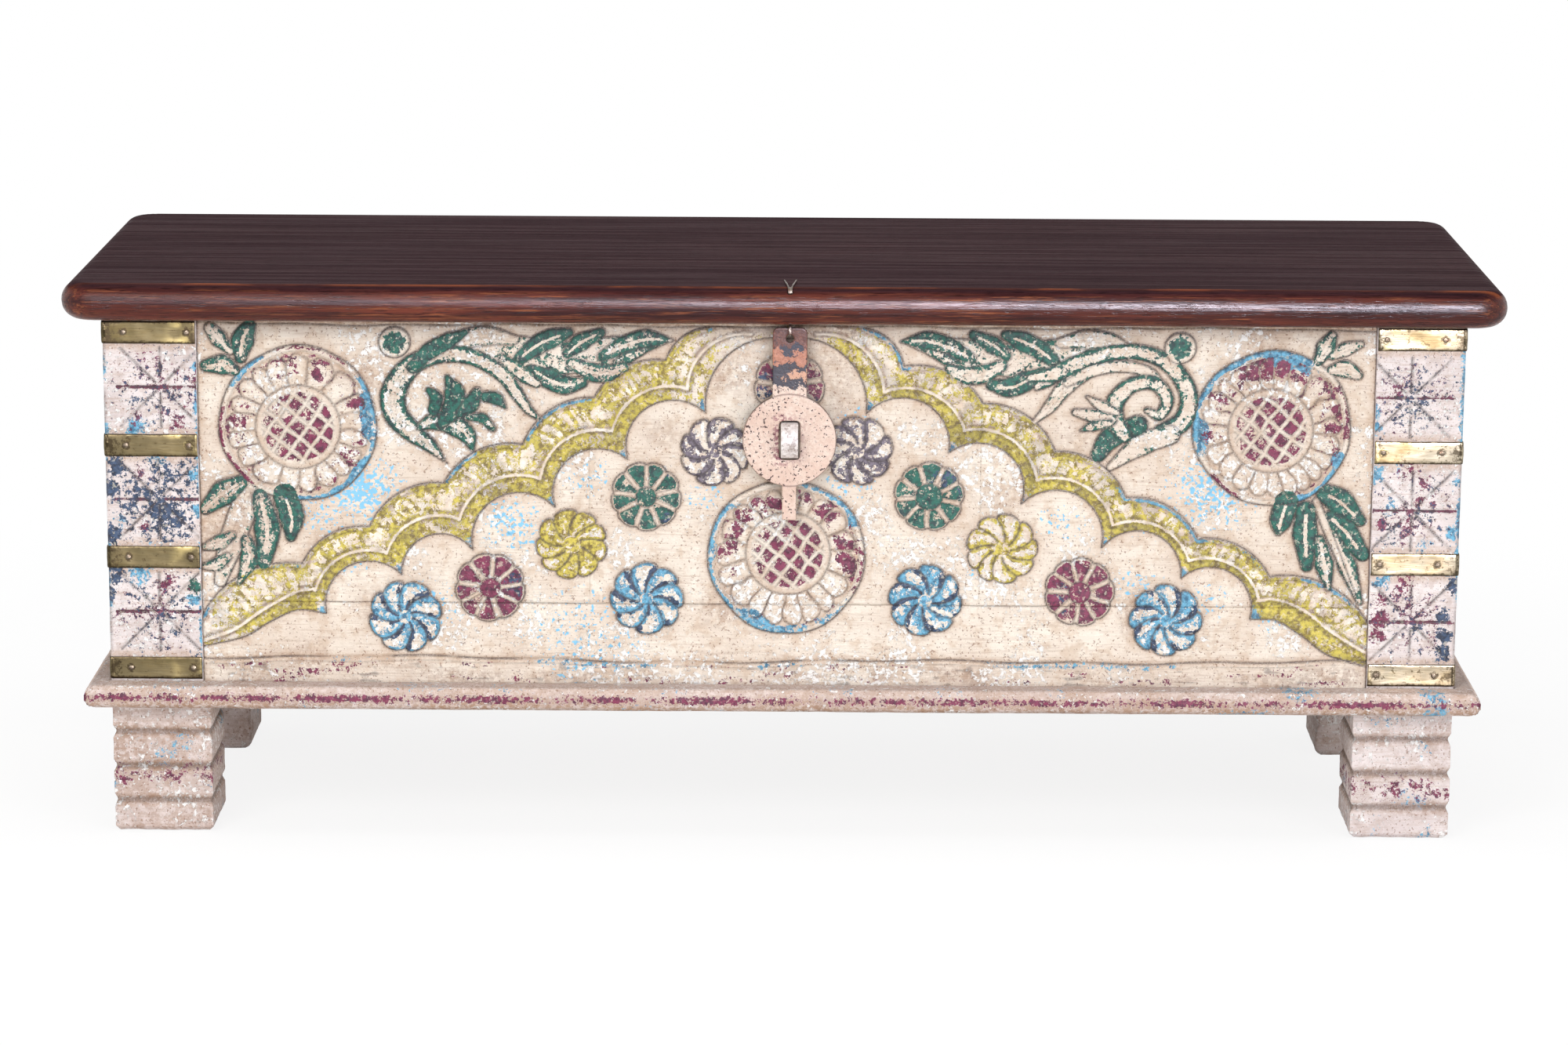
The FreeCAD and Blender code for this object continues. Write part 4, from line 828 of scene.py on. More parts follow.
def carve_tongues(relief, part, centre, disc, petals, far, inside, plum, patch, seed):
    """The ring of petals with round ends, in a sunk field."""
    cover = relief.brush(part)
    x, z = relief.x[part], relief.z[part]
    dx, dz = x - centre[0], z - centre[1]
    px, pz = x - disc[0], z - disc[1]
    near = np.hypot(px, pz)
    round_centre = np.arctan2(dz, dx)
    turn = (np.arctan2(pz, px) + 0.1 * np.sin(2 * round_centre + seed)) * petals / TAU + 0.35 * (patch - 0.5)
    off = np.abs(turn % 1 - 0.5) * 2
    half = math.pi * near / petals
    end = PETAL_REACH - half
    tongue = np.where(far < end, half * (1 - off), half - np.hypot(np.maximum(far - end, 0), half * off))
    field = ease(near, 34, 36) * ease(inside, 5.0, 6.4)
    petal = field * ease(tongue, 0.1, 1.0)
    relief.sink(part, 1.7 * field)
    relief.height[part] += petal * (0.5 + 1.3 * np.sqrt(np.clip(tongue / half, 0, 1)))
    relief.sink(part, 0.6 * petal * ridge(off - 0.35, 0.12) * ease(far, 42, 52))
    directions, plum_shares = zip(*plum)
    amount = np.interp(np.degrees(round_centre) % 360, directions, plum_shares, period=360)
    spots = ease(cloud(x, z, 9, 58 + seed), 0.3, 0.65)
    strength = amount * (0.5 + 0.7 * spots) * (0.7 + 0.3 * (1 - off)) + 0.15 * (patch - 0.5)
    cover("plum", np.clip(petal * strength * ease(far, 36, 44), 0, 0.95))
    between_petals = field * (1 - ease(tongue, 0, 1.4))
    cover("plum", between_petals * ease(patch, 0.4, 0.7) * (0.3 + 0.5 * amount))
    above = ease(dz, -30, 45)
    cover("line", field * ridge(tongue, 0.9) * (0.45 + 0.5 * patch))
    cover("halo", field * (0.75 * ridge(tongue, 2.6)))
    cover("white", petal * (1 - 0.6 * above) * 0.85)


def carve_lattice(relief, part, disc, patch):
    """The disc with its groove and its crossing ribs."""
    cover = relief.brush(part)
    px, pz = relief.x[part] - disc[0], relief.z[part] - disc[1]
    near = np.hypot(px, pz)
    cover("line", 0.7 * ridge(near - DISC_RADIUS - 1.4, 0.9))
    cover("halo", 0.6 * ridge(near - DISC_RADIUS, 3.0))
    relief.sink(part, 0.9 * ridge(near - DISC_RADIUS - 1.4, 1.1))
    in_disc = ease(DISC_RADIUS - near, 0, 2)
    down, rise = math.radians(40), math.radians(55)
    first = ((px * math.sin(down) + pz * math.cos(down)) / RIB_PITCH + 0.5 + 0.16 * (patch - 0.5)) % 1
    second = ((pz * math.cos(rise) - px * math.sin(rise)) / RIB_PITCH + 0.5 - 0.16 * (patch - 0.5)) % 1
    to_rib = RIB_PITCH / 2 - np.maximum(np.abs(first - 0.5), np.abs(second - 0.5)) * RIB_PITCH
    cell = in_disc * ease(to_rib, 1.3, 2.1) * ease(DISC_RADIUS - near, 3.6, 5.2)
    relief.sink(part, 1.2 * cell)
    relief.height[part] += 0.4 * in_disc * (1 - (near / DISC_RADIUS) ** 2)
    left_wear = ease(px, -34, -2) * 0.3
    relief.layers["plum"][part] *= 1 - in_disc
    strength = 0.46 + left_wear + 0.55 * (cloud(px + disc[0], pz, 9, 59) - 0.35)
    cover("plum", cell * np.clip(strength, 0, 0.94))
    cover("line", 0.5 * in_disc * ridge(to_rib - 1.5, 0.6) * ease(DISC_RADIUS - near, 2, 4))


# Leaves and stems: points, half widths, green at the rim, green at the core and the vein's half width.
# The points of ACANTHUS and SCROLLS are distances from the middle line and levels.
ACANTHUS = [
    ([(262, 404), (240, 405), (215, 402), (190, 398), (165, 400), (140, 405), (112, 410), (94, 413)],
     [5, 11, 14, 14, 13, 11, 6, 1], 0.6, 0.34, 0),
    ([(277, 404), (260, 413), (241, 416), (220, 413)], [5, 8, 8, 4], 0.6, 0.08, 1.1),
    ([(215, 398), (202, 408), (190, 414), (176, 419)], [5, 8, 8, 4], 1, 0.86, 1.1),
    ([(177, 402), (166, 411), (150, 419)], [4, 7.5, 4], 1, 0.84, 1.0),
    ([(149, 400), (132, 408), (113, 414), (92, 413)], [4, 8, 8, 1], 1, 0.7, 1.2),
    ([(138, 394), (128, 399), (114, 405)], [3, 5, 2.5], 0.9, 0.5, 0),
    ([(173, 394), (158, 387), (145, 386), (131, 391)], [5, 8, 7.5, 4], 0.85, 0.45, 1.1),
    ([(206, 389), (192, 381), (179, 376), (165, 378)], [4, 8.5, 8, 4.5], 0.98, 0.72, 1.1),
    ([(230, 399), (220, 390), (211, 383), (202, 377)], [3, 6, 6, 3.5], 0.85, 0.35, 0),
]
SCROLLS = {
    -1: [
        ([(199, 347), (209, 356), (218, 369), (230, 385), (252, 398), (276, 401), (297, 395), (311, 382),
          (318, 366), (315, 350), (303, 337), (289, 326), (275, 311)],
         [1.5, 4, 5.5, 6.5, 7, 7.5, 8, 9.5, 10.5, 10, 8.5, 6, 0.5], 0.98, 0.3, 1.3),
        ([(302, 390), (288, 403), (272, 412), (258, 419)], [5, 7, 6.5, 2], 1, 0.85, 0),
        ([(297, 341), (282, 346), (268, 342), (258, 334), (254, 322)], [3, 8, 9, 7, 1.5], 0.98, 0.6, 1.2),
        ([(279, 344), (270, 356), (268, 369), (274, 382)], [4, 8.5, 8.5, 2], 1, 1, 0),
        ([(285, 355), (283, 365), (289, 371)], [5, 5.5, 2.5], 1, 0.97, 0),
        ([(263, 352), (255, 360), (250, 370)], [4, 7, 4], 1, 0.97, 0),
        ([(243, 366), (234, 364), (227, 357)], [4.5, 5.5, 1], 1, 0.97, 0),
        ([(259, 349), (246, 348), (238, 340)], [2.5, 4.5, 3], 0.95, 0.7, 0),
    ],
    1: [
        ([(197, 345), (212, 360), (226, 378), (246, 390)], [1, 5, 7, 4], 0.6, 0.15, 1.2),
        ([(196, 384), (216, 388), (238, 398), (262, 405), (288, 405), (310, 394), (324, 372), (321, 351),
          (304, 339)],
         [3, 7, 7, 6.5, 6.5, 7, 7.5, 8, 8], 1, 0.3, 0),
        ([(226, 380), (246, 390), (270, 394), (292, 389), (305, 376)], [3, 5, 5, 4.5, 2], 0.5, 0.1, 0),
        ([(262, 311), (287, 330), (310, 338)], [3, 9.5, 8], 0.5, 0.12, 0),
        ([(252, 321), (262, 335), (284, 346)], [6, 9, 8], 1, 0.8, 0),
        ([(272, 338), (265, 352), (266, 366), (279, 379), (297, 380), (307, 367), (301, 354), (291, 358)],
         [7, 7.5, 7.5, 6.5, 6, 5.5, 4.5, 2.5], 1, 0.35, 0),
        ([(242, 369), (256, 360), (266, 356)], [1, 5.5, 3], 0.9, 0.25, 0),
        ([(233, 356), (248, 353), (262, 350)], [3, 6, 5], 0.8, 0.12, 0),
        ([(238, 341), (248, 345), (260, 347)], [1, 4.5, 4], 0.95, 0.5, 0),
    ],
}
SIDE_LEAVES = {
    -1: [
        ([(-438, 397), (-436, 411), (-430, 424)], [5, 9.5, 5], 1, 0.72, 1.2),
        ([(-446, 402), (-455, 412), (-462, 421)], [3, 7, 5], 0.62, 0.4, 1.2),
        ([(-442, 386), (-453, 391), (-466, 390)], [4, 8.5, 5], 0.95, 0.5, 1.1),
        ([(-434, 286), (-441, 264), (-450, 240), (-458, 212)], [9, 11, 10, 5], 0.34, 0.16, 1.4),
        ([(-440, 294), (-454, 285), (-469, 272)], [6, 10.5, 5], 0.9, 0.5, 1.2),
        ([(-448, 250), (-458, 244), (-470, 240)], [4, 6.5, 3], 0.7, 0.4, 1.0),
        ([(-452, 232), (-460, 226), (-470, 224)], [4, 6, 3], 0.7, 0.4, 1.0),
        ([(-436, 246), (-434, 230), (-443, 210)], [5, 8, 2], 0.95, 0.5, 1.2),
        ([(-424, 282), (-419, 256), (-422, 228)], [7, 11, 6], 0.98, 0.6, 1.6),
        ([(-404, 284), (-399, 266), (-400, 249)], [10, 10.5, 4], 1, 0.95, 1.3),
    ],
    1: [
        ([(430, 399), (436, 410), (441, 420)], [4, 8, 4], 0.85, 0.35, 1.2),
        ([(441, 403), (452, 409), (464, 413)], [3, 6, 3], 0.55, 0.3, 1.1),
        ([(441, 392), (452, 393), (463, 388)], [4, 7.5, 4], 0.8, 0.2, 1.2),
        ([(440, 290), (452, 283), (468, 268)], [8, 11, 5], 1, 0.93, 1.3),
        ([(443, 272), (457, 258), (471, 240)], [4, 10, 6], 1, 0.93, 1.4),
        ([(408, 283), (404, 268), (402, 258)], [10, 9, 3], 1, 0.9, 1.5),
        ([(424, 276), (424, 256), (426, 230)], [8, 10.5, 5], 1, 0.92, 1.7),
        ([(436, 252), (440, 232), (444, 212)], [4, 8, 3], 0.98, 0.6, 1.4),
        ([(447, 256), (459, 230), (470, 200)], [3, 8, 2.5], 0.98, 0.62, 1.5),
        ([(432, 284), (440, 264), (452, 236), (466, 205)], [3, 3.5, 2.5, 1], 0.25, 0.1, 0),
    ],
}
BUDS = {-1: (-314, 410), 1: (319, 409)}
BUD_RADIUS = 12.5
# Centre, radius, petals, swirl, turn, paint, boss, how full the paint is, and the paint of the shade.
ROSETTES = [
    ((4.7, 376.9), 28.5, 9, 0, 10, "plum", 6.5, 0.7, "navy"),
    ((-55.2, 321.7), 28.5, 8, -0.9, 12, "grey", 5, 0.86, "grey"),
    ((60.2, 323.1), 28.5, 8, 0.9, 30, "grey", 5, 0.9, "grey"),
    ((-111.1, 284.4), 28.5, 9, 0, 12, "teal", 8.5, 0.93, "navy"),
    ((118.3, 285.8), 28.5, 9, 0, 26, "teal", 11, 0.97, "navy"),
    ((-171.7, 244.3), 29, 9, -0.75, 4, "olive", 7, 1.15, "olive"),
    ((178.0, 242.6), 29, 9, 0.75, 20, "olive", 6, 0.8, "olive"),
    ((-238.2, 207.9), 28.5, 9, 0, 6, "plum", 8.5, 0.97, "navy"),
    ((241.7, 207.0), 28.5, 9, 0, 22, "plum", 9, 0.95, "navy"),
    ((-110.6, 199.5), 30, 8, -0.8, 24, "blue", 5, 1.02, "navy"),
    ((116.1, 199.3), 30, 8, 0.9, 8, "blue", 5, 1.05, "navy"),
    ((-307.5, 183.1), 30, 8, -0.9, 0, "blue", 5, 0.95, "navy"),
    ((312.4, 183.8), 30, 8, 0.9, 16, "blue", 5, 1.02, "navy"),
]
# Centre, disc's centre, petals, paint of the rim from one direction to another, plum of the petals and seed.
MEDALLIONS = [
    ((-392.3, 342.9), (-392.4, 340.3), 19,
     [("blue", -125, 55, 0.95), ("blue", 112, 158, 0.8), ("plum", 160, 238, 0.95), ("plum", 45, 112, 0.6)],
     [(0, 0.5), (22, 0.65), (38, 0.2), (52, 0.5), (68, 1.0), (84, 0.3), (108, 0.6), (130, 0.2), (150, 0.35),
      (176, 0.5), (190, 0.5), (205, 0.15), (232, 0.3), (260, 0.12), (285, 0.2), (305, 0.7), (322, 0.5),
      (340, 0.35)], 1),
    ((394.8, 343.9), (393.6, 341.9), 22,
     [("blue", 40, 215, 0.98), ("plum", 215, 250, 0.9), ("blue", 285, 345, 0.98), ("plum", -15, 40, 0.7)],
     [(0, 0.8), (20, 0.8), (60, 0.65), (90, 0.8), (130, 0.7), (165, 0.55), (190, 0.5), (205, 0.1),
      (300, 0.08), (335, 0.4)], 2),
    ((2.9, 234.9), (4.2, 238.2), 19,
     [("blue", 120, 300, 0.85), ("blue", 20, 85, 0.8), ("plum", -40, 20, 0.5), ("blue", 290, 330, 0.5)],
     [(0, 0.9), (18, 0.8), (30, 0.35), (42, 1.1), (62, 1.1), (80, 0.5), (112, 1.1), (128, 0.5), (148, 0.9),
      (168, 0.7), (190, 0.5), (210, 0.1), (320, 0.08), (345, 0.5)], 3),
]
# Spatters of blue: across, level, reach and share.
SPATTERS = [
    (-345, 290, 24, 0.75), (-300, 272, 20, 0.4), (-372, 268, 18, 0.35), (-288, 192, 22, 0.25),
    (-220, 262, 20, 0.5), (-158, 300, 16, 0.3), (346, 292, 26, 0.55), (296, 268, 18, 0.25),
    (290, 214, 14, 0.35), (342, 200, 16, 0.3), (54, 300, 14, 0.5), (-62, 285, 12, 0.35),
    (224, 262, 16, 0.3), (-160, 168, 40, 0.28), (60, 350, 12, 0.35), (405, 186, 14, 0.3),
    (-350, 228, 12, 0.3), (160, 226, 10, 0.3),
]


def carve_borders(relief):
    """The plain rails below and above the field, and the seam between the boards."""
    x, z = relief.x, relief.z
    level = LOWER_LINE + 1.4 * np.sin(x / 61) + 0.8 * np.sin(x / 17) - 0.9 * np.cos(x / 130)
    top_line = UPPER_LINE + 0.8 * np.sin(x / 43) + 0.5 * np.sin(x / 13)
    under, over = level - z, z - top_line
    relief.height = np.where(under > 0, CARVING_TOP * ease(under, 0, 1.6), relief.height)
    relief.height = np.where(over > 0, CARVING_TOP * ease(over, 0, 1.6), relief.height)
    everywhere = (slice(None), slice(None))
    cover = relief.brush(everywhere)
    cover("line", 0.85 * ridge(under, 0.9) * ease(cloud(x, z, 30, 61), 0.05, 0.35))
    cover("line", 0.35 * ridge(under - 3.6, 0.6) * ease(cloud(x, z, 55, 62), 0.35, 0.6))
    cover("halo", 0.75 * ridge(under, 4))
    cover("line", 0.8 * ridge(over, 0.9))
    cover("brown", 0.7 * ease(over, -1, 2))
    cover("halo", 0.6 * ridge(over, 4))
    relief.sink(everywhere, 0.9 * ridge(under, 1.2) + 0.8 * ridge(over, 1.2))
    cover("brown", 0.5 * ease(under, 2, 8) * ease(cloud(x / 3, z, 9, 63), 0.45, 0.85))
    rail = ease(under, 1, 4)
    cover("blue", 0.5 * ridge(under - 2.5, 3.0) * ease(cloud(x, z, 60, 64), 0.5, 0.75))
    cover("plum", 0.4 * rail * ease(cloud(x / 4, z, 6, 66), 0.5, 0.9))
    cover("line", 0.5 * rail * ease(cloud(x / 3, z, 3, 67), 0.78, 0.95))
    sides = np.minimum(x - FRONT_LEFT, FRONT_RIGHT - x)
    cover("line", 0.75 * ridge(sides, 1.0))
    cover("halo", 0.7 * ridge(sides, 5))
    relief.sink(everywhere, 0.8 * ridge(sides, 1.4))
    seam = z - FRONT_SEAM - 0.3 * np.sin(x / 40)
    shown = 0.08 + 0.62 * cloud(x, z * 0, 45, 65)
    relief.sink(everywhere, 0.9 * ridge(seam, 0.8))
    cover("line", shown * ridge(seam, 0.62))


def carve_front():
    """The whole relief."""
    relief = Relief()
    for side in (-1, 1):
        carve_arch(relief, side)
        for points, *looks in ACANTHUS + SCROLLS[side]:
            placed = [(MIRROR_LINE + side * across, level) for across, level in points]
            carve_stroke(relief, placed, *looks)
        for leaf in SIDE_LEAVES[side]:
            carve_stroke(relief, *leaf)
        across, level = BUDS[side]
        short_line = [(across, level), (across + 0.5, level + 0.5)]
        carve_stroke(relief, short_line, [BUD_RADIUS, BUD_RADIUS], 0.3, 0.98, 0)
    for rosette in ROSETTES:
        carve_rosette(relief, *rosette)
    for medallion in MEDALLIONS:
        carve_medallion(relief, *medallion)
    finish_ground(relief)
    carve_borders(relief)
    return relief


def finish_ground(relief):
    """Grooves and grime round the motifs, spatters, crusts and the ground's unevenness."""
    x, z, outside = relief.x, relief.z, relief.outside
    everywhere = (slice(None), slice(None))
    cover = relief.brush(everywhere)
    open_ground = np.maximum(outside, 0)
    relief.height += 1.5 * (1 - np.exp(-open_ground / 7)) * (outside > 0)
    relief.sink(everywhere, 0.7 * ridge(outside, 1.3))
    cover("line", ridge(outside, 0.85))
    cover("halo", 0.85 * np.exp(-open_ground / 3.2) * (outside > 0))
    spatter = np.zeros_like(x)
    for across, level, reach, share in SPATTERS:
        spatter = np.maximum(spatter, share * ridge(np.hypot((x - across) * 0.8, z - level), reach))
    cover("spatter", spatter * (outside > 0.8))
    cover("white", ease(cloud(x, z, 34, 71), 0.35, 0.9) * 0.8)
    cover("brown", 0.55 * ease(cloud(x, z, 48, 72), 0.62, 0.95))
    relief.height += 0.5 * cloud(x, z, 28, 73) + 0.25 * cloud(x, z, 7, 74) + 0.12 * cloud(x, z, 2.6, 75) - 0.4


def front_piece(relief, name, rows, columns, node):
    """Part of the relief as a closed board piece: its face, its edges and its back."""
    x, z = relief.x[rows, columns], relief.z[rows, columns]
    y = np.clip(GROUND_FACE - relief.height[rows, columns], PROUDEST, DEEPEST)
    high, wide = x.shape
    face = np.stack([x, y, z], -1).reshape(-1, 3)
    back = np.full(wide, float(BOARD_BACK))
    back_low, back_high = (np.stack([x[row], back, z[row]], -1) for row in (0, -1))
    points = np.vstack([face, back_low, back_high])
    place = np.arange(high * wide).reshape(high, wide)
    low_back = np.arange(wide) + high * wide
    high_back = low_back + wide
    quads = [
        np.stack([place[:-1, :-1], place[:-1, 1:], place[1:, 1:], place[1:, :-1]], -1).reshape(-1, 4),
        np.stack([low_back[:-1], low_back[1:], place[0, 1:], place[0, :-1]], -1),
        np.stack([place[-1, :-1], place[-1, 1:], high_back[1:], high_back[:-1]], -1),
        np.stack([low_back[1:], low_back[:-1], high_back[:-1], high_back[1:]], -1),
    ]
    faces = np.vstack(quads).tolist()
    faces.append([int(low_back[0])] + place[:, 0].tolist() + [int(high_back[0])])
    faces.append([int(high_back[-1])] + place[::-1, -1].tolist() + [int(low_back[-1])])
    mesh = bpy.data.meshes.new(name)
    mesh.from_pydata((points * MM).tolist(), [], faces)
    carved = len(quads[0])
    painted = carved + 2 * (wide - 1)
    mesh.polygons.foreach_set("use_smooth", [index < carved for index in range(len(faces))])
    bare = np.zeros(2 * wide)
    layers = relief.layers.items()
    give_layers(mesh, {name: np.append(values[rows, columns].ravel(), bare) for name, values in layers})
    piece = show(name, mesh, "chest", [PAINTED, PLAIN], smooth=False)
    mesh.polygons.foreach_set("material_index", [int(index >= painted) for index in range(len(faces))])
    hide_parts(node)


def make_front():
    """The carved boards as four pieces."""
    relief = carve_front()
    high, wide = relief.x.shape
    under = slice(0, relief.seam_row + 1)
    over = slice(relief.seam_row, high)
    front_piece(relief, "carved_lower_board", under, slice(0, wide), "front_board_lower")
    thirds = np.linspace(0, wide - 1, 4).astype(int)
    for start, end, label in zip(thirds, thirds[1:], ("left", "middle", "right")):
        front_piece(relief, f"carved_upper_board_{label}", over, slice(start, end + 1), "front_board_upper")


make_front()


# Corner posts and mouldings

# The middles of the asterisks, one for each square between the straps.
ASTERISKS = {
    -1: [(-503, 372.8), (-506, 280), (-507.6, 186.5)],
    1: [(506, 369.7), (509.7, 276.6), (511.6, 183.8)],
}

# Spots of paint on the posts: across from the middle, level, reach and share.
POST_SPOTS = {
    -1: {
        "plum": [(-489, 342, 14, 0.55), (-500, 352, 14, 0.42), (-523, 346, 12, 0.45), (-477, 380, 11, 0.5),
                 (-518, 258, 7, 0.8), (-522, 302, 14, 0.5), (-534, 270, 14, 0.42), (-500, 212, 12, 0.6),
                 (-484, 262, 12, 0.35), (-538, 206, 12, 0.34), (-504, 302, 14, 0.4)],
        "blue": [(-523, 340, 12, 0.8), (-505, 312, 20, 0.5), (-477, 301, 9, 0.65), (-475, 272, 8, 0.9),
                 (-510, 247, 14, 0.45), (-522, 219, 18, 0.55), (-480, 195, 10, 0.6), (-473, 390, 8, 0.7),
                 (-473, 354, 8, 0.7), (-538, 262, 14, 0.5)],
        "navy": [(-540, 308, 12, 0.75), (-545, 289, 10, 0.9), (-545, 252, 10, 0.9), (-542, 216, 12, 0.7),
                 (-548, 201, 8, 0.9), (-530, 296, 12, 0.4)],
        "teal": [(-479, 208, 9, 0.8)],
    },
    1: {
        "plum": [(508, 307, 16, 0.5), (517, 299, 12, 0.5), (485, 265, 9, 0.6), (505, 261, 18, 0.5),
                 (503, 211, 18, 0.55), (506, 196, 14, 0.5), (487, 186, 12, 0.8), (486, 174, 9, 0.8),
                 (487, 202, 12, 0.55), (505, 382, 20, 0.36), (500, 348, 22, 0.3)],
        "blue": [(476, 358, 9, 0.75), (478, 345, 9, 0.7), (478, 307, 12, 0.7), (492, 280, 12, 0.5),
                 (543, 258, 9, 0.7), (488, 218, 12, 0.7), (545, 300, 10, 0.5), (545, 220, 8, 0.5),
                 (520, 250, 14, 0.4), (500, 312, 16, 0.35)],
        "navy": [(545, 215, 8, 0.95), (538, 189, 8, 0.95), (540, 173, 8, 0.95), (539, 159, 8, 0.9)],
        "teal": [],
    },
}


def add(found, name, share):
    """Adds to a painted layer."""
    found[name] = np.maximum(found[name], share)


SQUARE_HALF = 36
RAYS, RAY_START, LONG_RAY, SHORT_RAY = 8, 4, 46, 34


def rays_of(dx, dz):
    """Distance to the nearest of the rays cut from a middle, short and long in turn."""
    best = np.full(len(dx), FAR_AWAY)
    for ray in range(RAYS):
        turn = ray * TAU / RAYS
        out = dx * math.cos(turn) + dz * math.sin(turn)
        off = np.abs(dx * math.sin(turn) - dz * math.cos(turn))
        reach = LONG_RAY if ray % 2 else SHORT_RAY
        on_ray = (out > RAY_START) & (out < reach)
        best = np.minimum(best, np.where(on_ray, off, FAR_AWAY))
    return best


def post_layers(side):
    """Asterisks cut between the straps, speckles of plum, edges of blue and stained feet."""
    def layers(points, normals):
        x, z = points[:, 0], points[:, 2]
        front = ease(-normals[:, 1], 0.5, 0.8)
        found = {name: np.zeros(len(points)) for name in LAYERS}
        cut = np.zeros(len(points))
        for index, (across, level) in enumerate(ASTERISKS[side]):
            dx, dz = x - across, z - level
            square = (np.abs(dz) < SQUARE_HALF) * front
            best = rays_of(dx, dz)
            broken = 0.45 + 0.55 * ease(cloud(x, z, 7, 79), 0.3, 0.5)
            cut += square * 1.3 * ridge(best, 1.0)
            add(found, "line", square * 0.95 * ridge(best, 1.0) * broken)
            level_line = ridge(dz, 1.2) * (np.abs(dx) < SQUARE_HALF)
            add(found, "plum", square * 0.9 * level_line * (0.5 + broken))
            add(found, "line", square * 0.6 * level_line * broken)
            far = np.hypot(dx, dz)
            add(found, "plum", square * ridge(far, 42) * (0.28 + 0.34 * cloud(x, z, 11, 80 + index)))
            bluer = 1.8 if side < 0 and index == 1 else 1.0
            add(found, "navy", square * ridge(far, 46) * (0.2 + 0.3 * cloud(x, z, 13, 93 + index)) * bluer)
        body = ease(z, 130, 134) * front
        for name, spots in POST_SPOTS[side].items():
            for across, level, reach, share in spots:
                spot = share * ridge(np.hypot((x - across) * 1.25, z - level), reach)
                add(found, name, body * spot * (0.88 + 0.5 * cloud(x, z, 6, 84)))
        rim = np.maximum(ease(np.abs(x), 541, 549), ease(-np.abs(x), -480, -472))
        add(found, "blue", body * 0.75 * rim * ease(cloud(x, z, 30, 85), 0.25, 0.6))
        corner = ridge(np.abs(x) - 548, 1.2) * ease(cloud(x, z, 20, 86), 0.2, 0.6)
        add(found, "line", body * 0.6 * corner)
        ends = np.zeros(len(points))
        for level in STRAP_LEVELS:
            ends = np.maximum(ends, ridge(np.abs(z - level) - 11, 4))
        found["halo"] = body * 0.8 * ends
        add(found, "navy", body * 0.35 * ends * ease(cloud(x, z, 16, 87), 0.5, 0.8))
        found["white"] = 0.75 * cloud(x, z, 26, 88)
        return found, cut + stain_foot(side, points, found)
    return layers


# The level of the plum band round a foot, and its reach.
FOOT_BAND = {-1: (50, 12), 1: (44, 14)}


def stain_foot(side, points, found):
    """Stains, bands and notches of a foot. Gives how deep it is worn."""
    x, z = points[:, 0] + points[:, 1], points[:, 2]
    foot = ease(FOOT_TOP - z, 0, 3)
    notch = np.zeros(len(points))
    for level in NOTCH_LEVELS:
        notch = np.maximum(notch, ridge(z - level, 4))
    add(found, "line", foot * 0.6 * ridge(notch - 1, 0.35))
    amount = 0.45 if side < 0 else 0.08
    found["brown"] = foot * (amount + 0.45 * notch + 0.5 * (cloud(x, z, 14, 89) - 0.4))
    add(found, "halo", foot * (amount * 0.8 + 0.5 * notch))
    level, reach = FOOT_BAND[side]
    band = ridge(z - level, reach)
    add(found, "plum", foot * 0.55 * band * (0.4 + 0.8 * cloud(x, z, 9, 90)))
    add(found, "blue", foot * 0.42 * ease(cloud(x, z, 20, 91), 0.6, 0.9))
    return foot * 0.6 * cloud(x, z, 8, 92)


MOULDING_LOW, MOULDING_NOSE, MOULDING_HIGH = 110, 119, 128.6
BOARD_FOOT = 130


def moulding_layers(points, normals):
    """Rubbed plum along the nose, blue towards the right and browner towards the bottom."""
    x, z = points[:, 0] + 0.6 * points[:, 1], points[:, 2]
    nose = ridge(z - MOULDING_NOSE, 4.5)
    hollows = cloud(x / 3, z, 9, 104)
    found = {
        "plum": nose * (0.34 + 0.6 * cloud(x / 2.4, z, 8, 101)),
        "blue": 0.62 * ease(cloud(x / 2, z, 14, 102), 0.58, 0.9) * (0.45 + 0.55 * ease(x, 100, 500)),
        "brown": 0.35 + 0.5 * ease(125 - z, -8, 10) * cloud(x / 3, z, 10, 103) + 0.3 * ridge(z - 112, 4),
        "halo": 0.35 + 0.4 * cloud(x / 3, z, 7, 107),
        "line": 0.45 * ridge(z - MOULDING_HIGH, 0.8) + 0.35 * ridge(z - MOULDING_LOW, 1.2) * hollows,
        "white": 0.6 * cloud(x / 2, z, 12, 105),
    }
    return found, 0.4 * cloud(x / 3, z, 9, 106)


def board_layers(points, normals):
    """Plain painted boards, brushed along their grain, rubbed at their edges and stained."""
    x, z = points[:, 0] + points[:, 1], points[:, 2]
    grain = cloud(x / 12, z, 3.4, 115)
    low_edges = np.maximum(ridge(z - FRONT_SEAM, 3), ridge(z - BOARD_FOOT, 8))
    edges = np.maximum(ridge(z - FRONT_HIGH, 9), low_edges)
    stains = np.maximum(0.55 * ease(cloud(x / 3, z, 14, 111), 0.4, 0.9), 0.6 * edges)
    found = {
        "brown": stains + 0.25 * ease(grain, 0.6, 0.9),
        "white": 0.75 * cloud(x, z, 34, 112),
        "blue": 0.42 * ease(cloud(x / 2, z, 40, 113), 0.62, 0.9),
        "plum": 0.36 * ease(cloud(x / 2, z, 30, 116), 0.7, 0.95),
        "olive": 0.34 * ease(cloud(x / 2, z, 34, 117), 0.74, 0.95),
        "halo": 0.35 * cloud(x / 4, z, 8, 114) + 0.4 * edges,
        "line": 0.7 * ridge(z - FRONT_SEAM, 0.8) + 0.4 * ease(cloud(x / 30, z, 2.2, 118), 0.86, 0.97),
    }
    return found, 0.5 * grain + 0.6 * ridge(z - FRONT_SEAM, 1.2)


